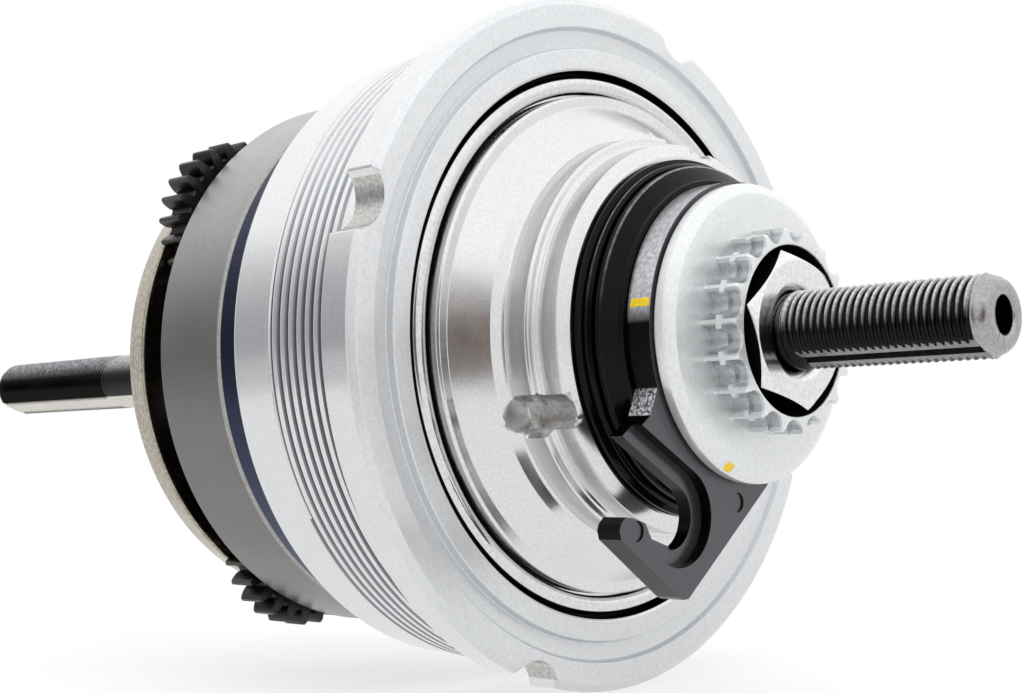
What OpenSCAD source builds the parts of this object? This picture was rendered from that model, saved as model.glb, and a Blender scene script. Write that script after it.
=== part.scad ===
// Internal hub gear unit: stepped planet train, roller clutch, flanged ball ring,
// sprocket driver and cable pulley on one fixed axle. Every piece is drawn along z,
// with the shell seat at z = 0 and the drive end at +z, then laid along the Y axis.

/* [Axle] */
// Diameter of the axle over its thread
axle_d = 9.5; // [9.2:0.1:10]
// Reach of the axle past the shell seat on the drive side
axle_drive_len = 60.7; // [56:0.5:66]
// Reach of the axle past the shell seat on the plain side
axle_plain_len = 146.4; // [136:0.5:150]
// Distance of each axle flat from the axis
axle_flat = 4; // [3.8:0.05:4.4]
// Length of the flats at the drive end
flat_drive_len = 25; // [20:0.5:26]
// Length of the flats at the plain end
flat_plain_len = 46; // [30:0.5:50]
// Direction that the lower flat faces, about the axis
flat_angle = 248; // [240:1:256]
// Diameter of the plain stretch of the axle beside the bush
axle_neck_d = 9.4; // [9.2:0.05:9.45]
// Length of the axle's collar behind the bush
axle_collar_len = 8; // [6:0.5:10]
// Diameter of the thick middle of the axle
axle_mid_d = 14; // [13:0.1:14.6]
// Width of the keyway in the lower flat
keyway_w = 1.5; // [1:0.1:2.2]
// Depth of the keyway below the flat
keyway_depth = 0.7; // [0.4:0.05:1]
// Diameter of the blind hole in the drive end
axle_hole_d = 4.1; // [3:0.1:4.6]
// Depth of the blind hole in the drive end
axle_hole_depth = 24; // [12:1:32]
// Bevel at both ends of the axle
axle_bevel = 0.9; // [0.4:0.1:1.2]

/* [Planet train] */
// Module of all the teeth
gear_module = 0.9; // [0.88:0.01:0.9]
// Teeth on the fixed sun gear
sun_teeth = 38; // [38:1:38]
// Teeth on the large wheel of each planet
planet_big_teeth = 25; // [25:1:25]
// Teeth on the small wheel of each planet
planet_small_teeth = 15; // [15:1:15]
// Play between two teeth along the pitch circle
tooth_play = 0.12; // [0.1:0.01:0.2]
// Tooth steps from the first planet to each planet, all even so that they are alike
planet_steps = [0, 38, 82]; // [0:2:126]
// Direction of the first planet about the axis
planet_angle = 140; // [100:0.5:170]
// Face width of the large planet wheel
planet_big_w = 4.6; // [4:0.1:5.5]
// Diameter of the plain neck between the two wheels of a planet
planet_neck_d = 15.6; // [14:0.1:19]
// Width of that plain neck
planet_shoulder_w = 2.1; // [1:0.1:3]
// Face width of the small planet wheel
planet_small_w = 9; // [8:0.1:9.4]
// Diameter of the planet pins
planet_pin_d = 4.9; // [4:0.1:5.4]
// Face width of the sun gears
sun_w = 4; // [3.6:0.1:4.8]

/* [Planet carrier] */
// Diameter of the carrier cover at its inner edge
cover_d = 71.6; // [69:0.2:73]
// Thickness of the carrier cover
cover_w = 4.7; // [3.6:0.1:5.4]
// Bevel round the outer edge of the carrier cover
cover_bevel = 1; // [0.5:0.1:1.4]
// Thickness of the carrier plate on the drive side
plate_w = 3; // [2.5:0.1:3.3]
// Diameter of the carrier plate
plate_d = 63; // [62.4:0.1:64]
// Diameter of the three posts between plate and cover
post_d = 7.6; // [7:0.1:8]
// Distance of the posts from the axis
post_r = 27.4; // [27.2:0.1:27.6]
// Diameter of the carrier screws
screw_d = 4; // [3:0.1:4.6]
// Reach of the carrier screws into the posts
screw_reach = 8.5; // [6:0.5:10]
// Outside diameter of the bronze bush in the cover
bush_d = 18; // [16.5:0.1:19]
// Length of the bronze bush past the cover
bush_reach = 4.2; // [3:0.1:5]

/* [Gear ring and clutch] */
// Outside diameter of the gear ring
gear_ring_d = 76; // [75.4:0.1:77]
// Width of the gear ring
gear_ring_w = 13.25; // [12.9:0.05:14]
// Width of the blued band of the clutch cam ring
band_w = 7.65; // [6.6:0.05:8.4]
// Diameter of the clutch rollers
roller_d = 3.8; // [3.4:0.05:3.9]
// Length of the clutch rollers
roller_len = 8; // [6:0.1:8.6]
// Number of clutch rollers
roller_count = 12; // [8:1:16]

/* [Ball ring] */
// Height of the flange over the shell thread
flange_lip = 3; // [2:0.1:4]
// Width of the flange
flange_w = 5.1; // [4.8:0.05:5.6]
// Height of the thread crests over the plain pilot
thread_rise = 0.4; // [0.1:0.05:0.6]
// Pitch of the shell thread
thread_pitch = 1.55; // [1.4:0.05:1.6]
// Depth of the shell thread
thread_depth = 0.85; // [0.5:0.05:1]
// Number of thread turns
thread_turns = 8; // [6:1:8]
// Plain land between thread and flange
thread_runout = 1.6; // [1.4:0.1:2.4]
// Wall of the plain pilot round the clutch race
race_wall = 3.4; // [3:0.1:4]
// Length of the ring behind the shell seat
ring_len = 20.85; // [20.5:0.05:22]
// Radius of the cutter for the spanner notches
notch_r = 4.3; // [3.8:0.1:4.4]
// Distance of the cutter's centre past the flange's rim
notch_past_rim = 1.5; // [1.4:0.1:2.2]
// Direction of the first spanner notch
notch_angle = 71.6; // [60:0.2:80]
// Inside diameter of the front lip
lip_d = 71.2; // [70.8:0.1:72]

/* [Main bearing] */
// Diameter of the main bearing balls
main_ball_d = 4.76; // [4.4:0.02:4.9]
// Pitch diameter of the main bearing
main_pitch_d = 62; // [61.6:0.1:62.6]
// Number of main bearing balls
main_balls = 24; // [18:1:28]
// Distance of the main bearing behind the shell seat
main_bearing_back = 1.5; // [1:0.1:2]

/* [Driver] */
// Diameter of the driver's rim
rim_d = 64.6; // [64.4:0.1:65.4]
// Reach of the driver's rim past the flange
rim_reach = 0.8; // [0.4:0.1:1.2]
// Diameter inside the driver's flat rim face
rim_face_d = 61.6; // [60:0.2:63]
// Diameter at the foot of the sprocket shoulder
cone_small_d = 54.4; // [53.6:0.2:56]
// Height of the driver's cone
cone_h = 3.7; // [3:0.1:4.2]
// Diameter of the sprocket shoulder
shoulder_d = 51.6; // [50.6:0.2:52.4]
// Width of the sprocket shoulder
shoulder_w = 3.6; // [3:0.1:4]
// Diameter of the sprocket seat
seat_d = 48.8; // [48:0.2:49.6]
// Width of the sprocket seat
seat_w = 3.1; // [2.4:0.1:3.6]
// Bevel at the drive end of the sprocket seat
seat_bevel = 0.6; // [0.3:0.1:1]
// Radius of the three half round sprocket grooves
spline_r = 2.7; // [2.2:0.1:3]
// Direction of the first sprocket groove
spline_angle = 83.8; // [70:0.2:90]
// Diameter of the balls between driver and cone
driver_ball_d = 4.76; // [4.4:0.02:4.8]
// Pitch diameter of those balls
driver_pitch_d = 28; // [27.6:0.1:28.4]
// Number of those balls
driver_balls = 12; // [9:1:13]
// Outside diameter of the driver's tube
tube_d = 31; // [30.6:0.1:31.4]
// Length of the pawls
pawl_w = 4.6; // [4:0.1:4.8]

/* [Cable pulley and arm] */
// Diameter of the driver cap
cap_d = 44.6; // [44:0.2:45.4]
// Thickness of the driver cap
cap_w = 1.9; // [1.8:0.1:2.2]
// Diameter of the pulley
pulley_d = 42.4; // [41.6:0.2:43]
// Width of the pulley
pulley_w = 2.8; // [2.6:0.1:3]
// Diameter of the round part of the arm
arm_d = 37.2; // [36.4:0.2:38]
// Thickness of the arm
arm_w = 3.3; // [2.8:0.1:3.6]
// Diameter of the collar that carries pulley and arm
collar_d = 20.4; // [20:0.1:20.8]
// Width of the slot for the cable housing stop
slot_w = 7.8; // [7:0.1:8.4]
// Width of the recess round that slot
recess_w = 11.8; // [11:0.1:12.6]
// Depth of the recess round that slot
recess_depth = 1.5; // [1:0.1:1.8]

/* [Fixing ring and nuts] */
// Diameter of the fixing ring
fixing_d = 36.4; // [35.6:0.2:37]
// Thickness of the fixing ring at its rim
fixing_w = 2.4; // [2.2:0.1:3]
// Diameter of the toothed boss on the fixing ring
boss_d = 24.6; // [24:0.1:25.4]
// Height of the toothed boss
boss_h = 4.7; // [4:0.1:5.2]
// Number of flutes round the boss
flute_count = 18; // [16:1:20]
// Radius of each flute
flute_r = 1.45; // [1.2:0.05:1.5]
// Direction of the first flute
flute_angle = 8.2; // [0:0.2:20]
// Width of a nut across its flats
nut_af = 17; // [16:0.1:17.2]
// Height of the drive side locknut
nut_h = 6.3; // [5:0.1:6.8]

/* [Fits] */
// Running clearance on a radius
run_gap = 0.05; // [0.03:0.01:0.08]
// Clearance round a rolling ball on its radius
ball_gap = 0.06; // [0.04:0.01:0.08]
// Rim of a ball cage beside its pockets
cage_rim = 0.5; // [0.3:0.05:0.8]
// Axial clearance between turning faces
face_gap = 0.2; // [0.15:0.05:0.3]

/* [Hidden] */
$fn = 96;
axis_r = gear_module * (sun_teeth + planet_big_teeth) / 2;
float_teeth = 2 * axis_r / gear_module - planet_small_teeth;
ring_teeth = 2 * axis_r / gear_module + planet_small_teeth;
mesh_step = 360 / (float_teeth + ring_teeth);
planet_dirs = [for (steps = planet_steps) planet_angle + steps * mesh_step];
post_dirs = [for (i = [0 : len(planet_dirs) - 1])
    (planet_dirs[i] + (i + 1 < len(planet_dirs) ? planet_dirs[i + 1]
        : planet_dirs[0] + 360)) / 2];

// Stations along the axis, from the shell seat to the plain side
band_front = -ring_len - 0.1;
band_back = band_front - band_w;
gear_ring_back = band_back - gear_ring_w;
shoulder_front = gear_ring_back - face_gap;
big_front = shoulder_front - planet_shoulder_w;
big_back = big_front - planet_big_w;
cover_front = big_back - 2 * face_gap;
cover_back = cover_front - cover_w;
small_front = shoulder_front + planet_small_w;
plate_back = small_front + 0.6;
plate_front = plate_back + plate_w;
bush_back = cover_back - bush_reach;
main_z = -main_bearing_back;

// Stations along the axis, from the shell seat to the drive side
rim_front = flange_w + rim_reach;
cone_front = rim_front + cone_h;
shoulder_back = cone_front + 0.7;
shoulder_end = shoulder_back + shoulder_w;
seat_start = shoulder_end + 0.4;
seat_end = seat_start + seat_w;
driver_end = seat_end + seat_bevel;
cap_back = driver_end + 0.1;
cap_front = cap_back + cap_w;
pulley_back = cap_front + face_gap;
pulley_front = pulley_back + pulley_w;
arm_back = pulley_front + face_gap;
arm_front = arm_back + arm_w;
fixing_back = arm_front + face_gap / 2;
fixing_front = fixing_back + fixing_w;
collar_front = arm_front + 1.6;
nut_front = collar_front + nut_h;
driver_bearing_z = driver_end - 7;
cone_back = driver_bearing_z - 4.8;
axle_mid_front = cone_back - 0.2;
axle_mid_back = bush_back - axle_collar_len;
ratchet_front = plate_front + 7.5;
tube_back = plate_front + 1.4;

// Corners of the cable arm outside its disc
arm_corners = [[-16.9, -7.1], [-18.4, -10.4], [-21.6, -12.8], [-23.2, -16.2],
    [-19, -20], [-22.8, -21.9], [-23.9, -23.2], [-23.8, -24.2],
    [-13.3, -31.2], [-12.3, -31.6], [-11.3, -31.4], [4.2, -18.3]];

// Lays a piece that is drawn along z onto the Y axis, drive end towards -Y
module along_axle() {
    rotate([90, 0, 0]) children();
}

// Solid of revolution from points of radius and height
module lathe(points) {
    rotate_extrude() polygon(points);
}

// Straight cylinder between two heights
module bar(r, from, to) {
    translate([0, 0, from]) cylinder(r = r, h = to - from);
}

// Tube between two radii and two heights
module tube(inner, outer, from, to) {
    lathe([[inner, from], [outer, from], [outer, to], [inner, to]]);
}

// Round rod with bevelled ends
module bevelled_bar(r, from, to, bevel_from, bevel_to) {
    lathe([[0, from], [r - bevel_from, from], [r, from + bevel_from],
        [r, to - bevel_to], [r - bevel_to, to], [0, to]]);
}

// Copies turned about the axis
module around(count, start = 0) {
    for (i = [0 : count - 1]) rotate(start + i * 360 / count) children();
}

// Involute angle of a point at radius r on the curve from base radius rb
function involute(r, rb) = tan(acos(rb / r)) * 180 / PI - acos(rb / r);

// Half of the angle that a tooth spans at radius r
function half_tooth(r, teeth, pitch_r, base_r, play) =
    90 / teeth - play / 4 / pitch_r * 180 / PI
    + involute(pitch_r, base_r) - involute(max(r, base_r), base_r);

// One tooth's points, from the root on its left to the root on its right
function tooth(teeth, root_r, tip_r, play, turn) =
    let (pitch_r = gear_module * teeth / 2, base_r = pitch_r * cos(20))
    let (low_r = max(root_r, base_r), steps = 3)
    let (radii = [for (i = [0 : steps]) low_r + (tip_r - low_r) * i / steps])
    let (rise = concat([root_r], radii))
    concat(
        [for (r = rise) let (a = turn - half_tooth(r, teeth, pitch_r, base_r, play))
            r * [cos(a), sin(a)]],
        [for (i = [len(rise) - 1 : -1 : 0])
            let (r = rise[i], a = turn + half_tooth(r, teeth, pitch_r, base_r, play))
            r * [cos(a), sin(a)]]);

// Outline of a whole wheel, with its first tooth at the given turn
module wheel_outline(teeth, root_r, tip_r, play, turn) {
    polygon([for (i = [0 : teeth - 1])
        each tooth(teeth, root_r, tip_r, play, turn + i * 360 / teeth)]);
}

// Toothed wheel with outside teeth
module wheel(teeth, width, turn, tip_share = 1) {
    pitch_r = gear_module * teeth / 2;
    linear_extrude(width)
        wheel_outline(teeth, pitch_r - 1.25 * gear_module,
            pitch_r + tip_share * gear_module, tooth_play, turn);
}

// Axle with two flats at each end, a keyway and a blind hole
module hub_axle() {
    color("dimgray") along_axle() difference() {
        union() {
            bevelled_bar(axle_d / 2, -axle_plain_len, flat_plain_len - axle_plain_len,
                axle_bevel, 0);
            bar(axle_neck_d / 2, flat_plain_len - axle_plain_len - 1, axle_mid_back + 1);
            bevelled_bar(axle_d / 2, axle_mid_front - 1, axle_drive_len, 0, axle_bevel);
            bevelled_bar(axle_mid_d / 2, axle_mid_back, axle_mid_front, 0.5, 0.5);
            bevelled_bar(bush_d / 2, axle_mid_back, bush_back - 0.1, 0.5, 0.2);
        }
        for (side = [0, 180]) rotate(flat_angle + side) {
            translate([axle_flat, -axle_d, axle_drive_len - flat_drive_len])
                cube([axle_d, 2 * axle_d, flat_drive_len + 1]);
            translate([axle_flat, -axle_d, -axle_plain_len - 1])
                cube([axle_d, 2 * axle_d, flat_plain_len + 1]);
        }
        rotate(flat_angle) translate([axle_flat - keyway_depth, -keyway_w / 2,
            axle_drive_len - flat_drive_len])
            cube([axle_d, keyway_w, flat_drive_len - 0.8]);
        bar(axle_hole_d / 2, axle_drive_len - axle_hole_depth, axle_drive_len + 1);
    }
}

// Sun gear that is fixed to the axle, with a spacer boss towards the floating sun
module sun_gear_fixed() {
    color("slategray") along_axle() difference() {
        union() {
            translate([0, 0, big_back + 0.2]) wheel(sun_teeth, sun_w, 0);
            bar(axle_mid_d / 2 + 3, cover_front + face_gap, shoulder_front + 0.9);
        }
        bar(axle_mid_d / 2, cover_front, 0);
    }
}

// Larger sun gear that turns on the axle
module sun_gear_floating() {
    turn = (planet_angle * (float_teeth + ring_teeth) + 180 * (planet_small_teeth - 1))
        / float_teeth;
    color("slategray") along_axle() difference() {
        union() {
            translate([0, 0, shoulder_front + 1.2]) wheel(float_teeth, sun_w + 1, turn, 0.95);
            bar(axle_mid_d / 2 + 3, shoulder_front + 1.2, plate_back + 2);
        }
        bar(axle_mid_d / 2 + run_gap, cover_front, 0);
    }
}

// Stepped planet gear in its place round the axis
module planet_gear(index) {
    dir = planet_dirs[index];
    big_turn = dir + 180 + (dir * sun_teeth - 180) / planet_big_teeth;
    small_turn = dir - dir * ring_teeth / planet_small_teeth;
    color("#2b302c") along_axle()
        translate([axis_r * cos(dir), axis_r * sin(dir), 0]) difference() {
            union() {
                translate([0, 0, big_back])
                    wheel(planet_big_teeth, planet_big_w, big_turn);
                bar(planet_neck_d / 2, big_front, shoulder_front);
                translate([0, 0, shoulder_front])
                    wheel(planet_small_teeth, planet_small_w, small_turn);
            }
            bar(planet_pin_d / 2 + run_gap, big_back - 1, small_front + 1);
        }
}

module planet_gear_1() planet_gear(0);

module planet_gear_2() planet_gear(1);

module planet_gear_3() planet_gear(2);

// Three pins that carry the planets
module planet_pins() {
    color("gainsboro") along_axle() for (dir = planet_dirs) rotate(dir)
        translate([axis_r, 0, 0])
            bevelled_bar(planet_pin_d / 2, cover_back, plate_front, 0.3, 0.3);
}

// Pressed steel cover on the plain side, with a boss for the bush
module carrier_cover() {
    r = cover_d / 2;
    color("#b9ad9b") along_axle() difference() {
        lathe([[bush_d / 2, bush_back], [bush_d / 2 + 3.5, bush_back],
            [bush_d / 2 + 4, cover_back], [r - cover_bevel, cover_back],
            [r, cover_front - 0.6], [r - 0.6, cover_front], [bush_d / 2, cover_front]]);
        for (dir = planet_dirs) rotate(dir) translate([axis_r, 0, 0])
            bar(planet_pin_d / 2, cover_back - 1, cover_front + 1);
        for (dir = post_dirs) rotate(dir) translate([post_r, 0, 0])
            bar(screw_d / 2, cover_back - 1, cover_front + 1);
    }
}

// Plate on the drive side with three posts and a ratchet cup
module carrier_plate() {
    ratchet_teeth = 12;
    ratchet_in = tube_d / 2 + 1.9;
    ratchet_out = tube_d / 2 + 3.8;
    color("#8d8a84") along_axle() difference() {
        union() {
            tube(axle_mid_d / 2 + 4, plate_d / 2, plate_back, plate_front);
            tube(tube_d / 2 + 1, tube_d / 2 + 5, plate_back, ratchet_front);
            for (dir = post_dirs) rotate(dir) translate([post_r, 0, 0])
                bar(post_d / 2, cover_front, plate_front);
        }
        for (dir = planet_dirs) rotate(dir) translate([axis_r, 0, 0])
            bar(planet_pin_d / 2, plate_back - 1, plate_front + 1);
        for (dir = post_dirs) rotate(dir) translate([post_r, 0, 0])
            bar(screw_d / 2, cover_front - 1, cover_front + 9);
        translate([0, 0, plate_front]) linear_extrude(20)
            polygon([for (i = [0 : ratchet_teeth - 1])
                let (a = i * 360 / ratchet_teeth)
                each [ratchet_in * [cos(a), sin(a)],
                    ratchet_in * [cos(a + 5.5), sin(a + 5.5)],
                    ratchet_out * [cos(a + 8), sin(a + 8)],
                    ratchet_out * [cos(a + 22), sin(a + 22)]]]);
    }
}

// Screws that hold the cover on the posts
module carrier_screws() {
    color("silver") along_axle() for (dir = post_dirs) rotate(dir)
        translate([post_r, 0, 0]) {
            bar(screw_d / 2, cover_back, cover_front + screw_reach);
            difference() {
                bevelled_bar(screw_d * 0.9, cover_back - 2.2, cover_back, 0.4, 0);
                translate([0, 0, cover_back - 3]) cylinder(r = screw_d * 0.42, h = 2, $fn = 6);
            }
        }
}

// Bronze bush between cover and axle
module carrier_bush() {
    color("peru") along_axle()
        tube(axle_mid_d / 2 + run_gap, bush_d / 2, bush_back, cover_front);
}

// Radius of the turned relief beyond the teeth of the gear ring
function ring_relief_r() = gear_module * (ring_teeth / 2 + 1.25) + 0.2;

// Ring with inside teeth, in line with the small planet wheels
module gear_ring() {
    pitch_r = gear_module * ring_teeth / 2;
    tooth_w = planet_small_w - 0.3;
    color("#8a8686") along_axle() difference() {
        lathe([[pitch_r - 2, gear_ring_back], [gear_ring_d / 2 - 0.4, gear_ring_back],
            [gear_ring_d / 2, gear_ring_back + 0.4], [gear_ring_d / 2, band_back - 0.3],
            [gear_ring_d / 2 - 0.3, band_back], [pitch_r - 2, band_back]]);
        translate([0, 0, gear_ring_back - 1]) linear_extrude(tooth_w + 1)
            wheel_outline(ring_teeth, pitch_r - 0.8 * gear_module,
                pitch_r + 1.25 * gear_module, -tooth_play, 0);
        bar(ring_relief_r(), gear_ring_back + tooth_w, 0);
    }
}

// Cam ring of the roller clutch, with the blued band that shows
module clutch_cam_ring() {
    spigot_r = ring_relief_r();
    cam_r = pilot_bore_r() - roller_d - 0.1;
    color("#262c44") along_axle()
        lathe([[spigot_r - 2.6, band_back - 2.8], [spigot_r, band_back - 2.8],
            [spigot_r, band_back], [gear_ring_d / 2, band_back],
            [gear_ring_d / 2, band_front], [cam_r, band_front], [cam_r, -10.2],
            [cam_r - 4, -10.2], [cam_r - 4, band_back + 0.4],
            [spigot_r - 2.6, band_back]]);
}

// Radius of the clutch race in the ball ring
function pilot_bore_r() = gear_ring_d / 2 + 0.2;

// Clutch rollers, spread evenly
module clutch_rollers() {
    pitch = pilot_bore_r() - roller_d / 2 - run_gap;
    color("gainsboro") along_axle() around(roller_count) translate([pitch, 0, 0])
        bar(roller_d / 2, band_front + 1, band_front + 1 + roller_len);
}

// Cage that spaces the clutch rollers
module roller_cage() {
    pitch = pilot_bore_r() - roller_d / 2 - run_gap;
    color("darkkhaki") along_axle() difference() {
        tube(pitch - 0.8, pitch + 0.8, band_front + 0.3, band_front + 1.9 + roller_len);
        around(roller_count) translate([pitch, 0, 0])
            bar(roller_d / 2 + run_gap, band_front + 0.9, band_front + 1.1 + roller_len);
    }
}

// Flanged ring that screws into the hub shell and holds the outer race
module ball_ring() {
    pilot_r = pilot_bore_r() + race_wall;
    thread_r = pilot_r + thread_rise;
    flange_r = thread_r + flange_lip;
    lip_r = lip_d / 2;
    thread_back = -thread_runout - thread_turns * thread_pitch;
    land_r = main_pitch_d / 2 + 0.9;
    color("#c9cbce") along_axle() difference() {
        lathe([[pilot_bore_r(), -ring_len], [pilot_r - 0.4, -ring_len],
            [pilot_r, -ring_len + 0.4], [pilot_r, thread_back],
            [thread_r, thread_back + 0.3], [thread_r, 0], [flange_r, 0],
            [flange_r, flange_w - 0.7], [flange_r - 1, flange_w],
            [flange_r - 3.8, flange_w], [flange_r - 4.2, flange_w - 0.8],
            [lip_r + 3, flange_w - 1.1], [lip_r + 2.8, flange_w + 0.1],
            [lip_r + 0.3, flange_w + 0.1], [lip_r, flange_w - 0.2], [lip_r, 2.6],
            [land_r, 2.6], [land_r, main_z - 4.6], [pilot_bore_r(), main_z - 6.2]]);
        for (i = [0 : thread_turns - 1])
            translate([0, 0, thread_back + (i + 0.5) * thread_pitch])
                lathe([[thread_r - thread_depth, -0.1], [thread_r + 0.1, -0.6],
                    [thread_r + 0.1, 0.6], [thread_r - thread_depth, 0.1]]);
        rotate_extrude() translate([main_pitch_d / 2, main_z])
            circle(r = main_ball_d / 2 + ball_gap);
        around(4, notch_angle) translate([flange_r + notch_past_rim, 0, 0])
            bar(notch_r, -1, flange_w + 1);
    }
}

// Balls of the main bearing
module main_bearing_balls() {
    color("white") along_axle() around(main_balls)
        translate([main_pitch_d / 2, 0, main_z]) sphere(d = main_ball_d);
}

// Cage with a pocket for each main bearing ball
module main_ball_cage() {
    r = main_pitch_d / 2;
    half = main_ball_d / 2 + ball_gap + cage_rim;
    color("darkgoldenrod") along_axle() difference() {
        tube(r - 0.55, r + 0.55, main_z - half, main_z + half);
        around(main_balls) translate([r - 2, 0, main_z]) rotate([0, 90, 0])
            cylinder(r = main_ball_d / 2 + ball_gap, h = 4);
    }
}

// Place of each pawl's pivot, its lean at rest, its root and its turn about the axis
pawl_pivot_r = tube_d / 2 - 0.9;
pawl_lean = 31;
pawl_root_r = 1.25;
pawl_back = tube_back + 0.4;
pawl_turn = -3.2;

// Side view of a pawl that points along -y from its pivot
module pawl_outline() {
    circle(r = pawl_root_r);
    polygon([[-0.7, -6.3], [0.1, -6.3], [0.9, -5.2], [1.1, 0], [-1, 0]]);
}

// Outline of a pawl's pocket in the driver's tube
module pawl_pocket() {
    circle(r = pawl_root_r + 0.15);
    polygon([[-0.7, -7], [3, -7], [3, 0], [-1.3, 0]]);
}

// Driver that carries the sprocket, the pawls and both inner races
module driver() {
    rim_r = rim_d / 2;
    seat_r = seat_d / 2;
    land_r = main_pitch_d / 2 - 0.9;
    bore_r = driver_pitch_d / 2 + 0.9;
    socket_r = cap_socket_r();
    wall_r = land_r - 2.6;
    color("#d3d2ce") along_axle() difference() {
        lathe([[tube_d / 2 - 3.9, tube_back], [tube_d / 2, tube_back],
            [tube_d / 2, main_z - 4.5], [tube_d / 2 + 1.5, main_z - 2.5],
            [tube_d / 2 + 1.5, rim_front - 2.4], [wall_r - 1, rim_front - 2.4],
            [wall_r, rim_front - 3.4], [wall_r, main_z - 4], [land_r, main_z - 4],
            [land_r, main_z + 4.3], [rim_r, main_z + 4.6], [rim_r, rim_front - 0.3],
            [rim_r - 0.3, rim_front], [rim_face_d / 2, rim_front],
            [cone_small_d / 2, cone_front], [shoulder_d / 2 + 0.4, cone_front + 0.3],
            [shoulder_d / 2, shoulder_back], [shoulder_d / 2, shoulder_end - 0.1],
            [seat_r + 0.2, seat_start - 0.2], [seat_r, seat_start], [seat_r, seat_end],
            [seat_r - seat_bevel * 1.3, driver_end],
            [socket_r, driver_end], [socket_r, driver_end - 2.6],
            [bore_r, driver_end - 2.6], [bore_r, driver_bearing_z - 4],
            [tube_d / 2 - 3.9, driver_bearing_z - 5]]);
        rotate_extrude() translate([main_pitch_d / 2, main_z])
            circle(r = main_ball_d / 2 + ball_gap);
        rotate_extrude() translate([driver_pitch_d / 2, driver_bearing_z])
            circle(r = driver_ball_d / 2 + ball_gap);
        around(3, spline_angle) translate([shoulder_d / 2 + 0.2, 0, 0])
            bar(spline_r, shoulder_back - 1.6, driver_end + 1);
        around(3, pawl_turn) translate([pawl_pivot_r, 0, pawl_back - 0.1])
            linear_extrude(pawl_w + 0.2) pawl_pocket();
    }
}

// Radius of the socket that takes the driver cap
function cap_socket_r() = seat_d / 2 - 5.4;

// Polished dust cap pressed on the driver's rim
module dust_cap() {
    rim_r = rim_d / 2;
    cap_r = lip_d / 2 - 0.5;
    color("white") along_axle()
        lathe([[rim_r, flange_w - 1.9], [cap_r, flange_w - 1.9], [cap_r, flange_w - 0.5],
            [cap_r - 0.3, flange_w - 0.2], [rim_r + 0.9, flange_w - 0.1],
            [rim_r + 0.6, flange_w - 0.5], [rim_r + 0.6, flange_w - 1.2],
            [rim_r, flange_w - 1.2]]);
}

// One drive pawl in its place, leaning out into the ratchet
module drive_pawl(index) {
    color("darkslategray") along_axle() rotate(pawl_turn + index * 120)
        translate([pawl_pivot_r, 0, pawl_back]) rotate(pawl_lean)
            linear_extrude(pawl_w) pawl_outline();
}

module drive_pawl_1() drive_pawl(0);

module drive_pawl_2() drive_pawl(1);

module drive_pawl_3() drive_pawl(2);

// Balls between driver and drive cone
module driver_bearing_balls() {
    color("white") along_axle() around(driver_balls)
        translate([driver_pitch_d / 2, 0, driver_bearing_z]) sphere(d = driver_ball_d);
}

// Cage with a pocket for each driver ball
module driver_ball_cage() {
    r = driver_pitch_d / 2;
    half = driver_ball_d / 2 + ball_gap + cage_rim;
    color("darkgoldenrod") along_axle() difference() {
        tube(r - 0.55, r + 0.55, driver_bearing_z - half, driver_bearing_z + half);
        around(driver_balls) translate([r - 2, 0, driver_bearing_z]) rotate([0, 90, 0])
            cylinder(r = driver_ball_d / 2 + ball_gap, h = 4);
    }
}

// Cone screwed on the axle, with the collar that carries pulley and arm
module drive_cone() {
    race_r = driver_pitch_d / 2 - 0.9;
    color("silver") along_axle() difference() {
        lathe([[axle_d / 2, cone_back], [race_r - 1.5, cone_back],
            [race_r, cone_back + 1.5], [race_r, driver_bearing_z + 3.6],
            [collar_d / 2, driver_bearing_z + 4.2], [collar_d / 2, collar_front - 0.2],
            [collar_d / 2 - 0.2, collar_front], [axle_d / 2, collar_front]]);
        rotate_extrude() translate([driver_pitch_d / 2, driver_bearing_z])
            circle(r = driver_ball_d / 2 + ball_gap);
    }
}

// Ribbed cap that closes the driver
module driver_cap() {
    r = cap_d / 2;
    socket_r = cap_socket_r();
    color("#16161a") along_axle()
        lathe([[collar_d / 2 + 0.5, cap_back + 0.6], [socket_r - 1.2, cap_back + 0.6],
            [socket_r - 1.2, driver_end - 2.4], [socket_r, driver_end - 2.4],
            [socket_r, cap_back], [r - 0.7, cap_back], [r, cap_back + 0.3],
            [r, cap_back + 0.6], [r - 1.1, cap_back + 0.9], [r - 0.6, cap_back + 1.2],
            [r - 0.6, cap_front - 0.4], [r - 1, cap_front], [collar_d / 2 + 0.5, cap_front]]);
}

// Pulley with a cable groove and a pocket for its spring
module cable_pulley() {
    r = pulley_d / 2;
    pocket_r = r - 4;
    color("#101014") along_axle() difference() {
        lathe([[collar_d / 2 + run_gap, pulley_back], [r - 0.2, pulley_back],
            [r, pulley_back + 0.2], [r, pulley_back + 0.9], [r - 1.6, pulley_front - 0.9],
            [r - 2, pulley_front - 0.6], [r - 2, pulley_front], [pocket_r, pulley_front],
            [pocket_r, pulley_back + 0.7], [collar_d / 2 + 1.4, pulley_back + 0.7],
            [collar_d / 2 + 1.4, pulley_front - 0.2],
            [collar_d / 2 + run_gap, pulley_front - 0.2]]);
        rotate(240) translate([r - 1.4, -1.6, pulley_back + 0.7])
            cube([3, 3.2, pulley_w]);
    }
}

// Flat spiral spring that turns the pulley back
module return_spring() {
    inner = collar_d / 2 + 1.7;
    outer = pulley_d / 2 - 4.3;
    turns = 2;
    steps = 24 * turns;
    strip = 0.6;
    color("lightsteelblue") along_axle() translate([0, 0, pulley_back + 1.1])
        linear_extrude(pulley_w - 1.6) polygon(concat(
            [for (i = [0 : steps]) let (a = i * 360 * turns / steps)
                (inner + (outer - strip - inner) * i / steps) * [cos(a), sin(a)]],
            [for (i = [steps : -1 : 0]) let (a = i * 360 * turns / steps)
                (inner + strip + (outer - strip - inner) * i / steps)
                * [cos(a), sin(a)]]));
}

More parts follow.
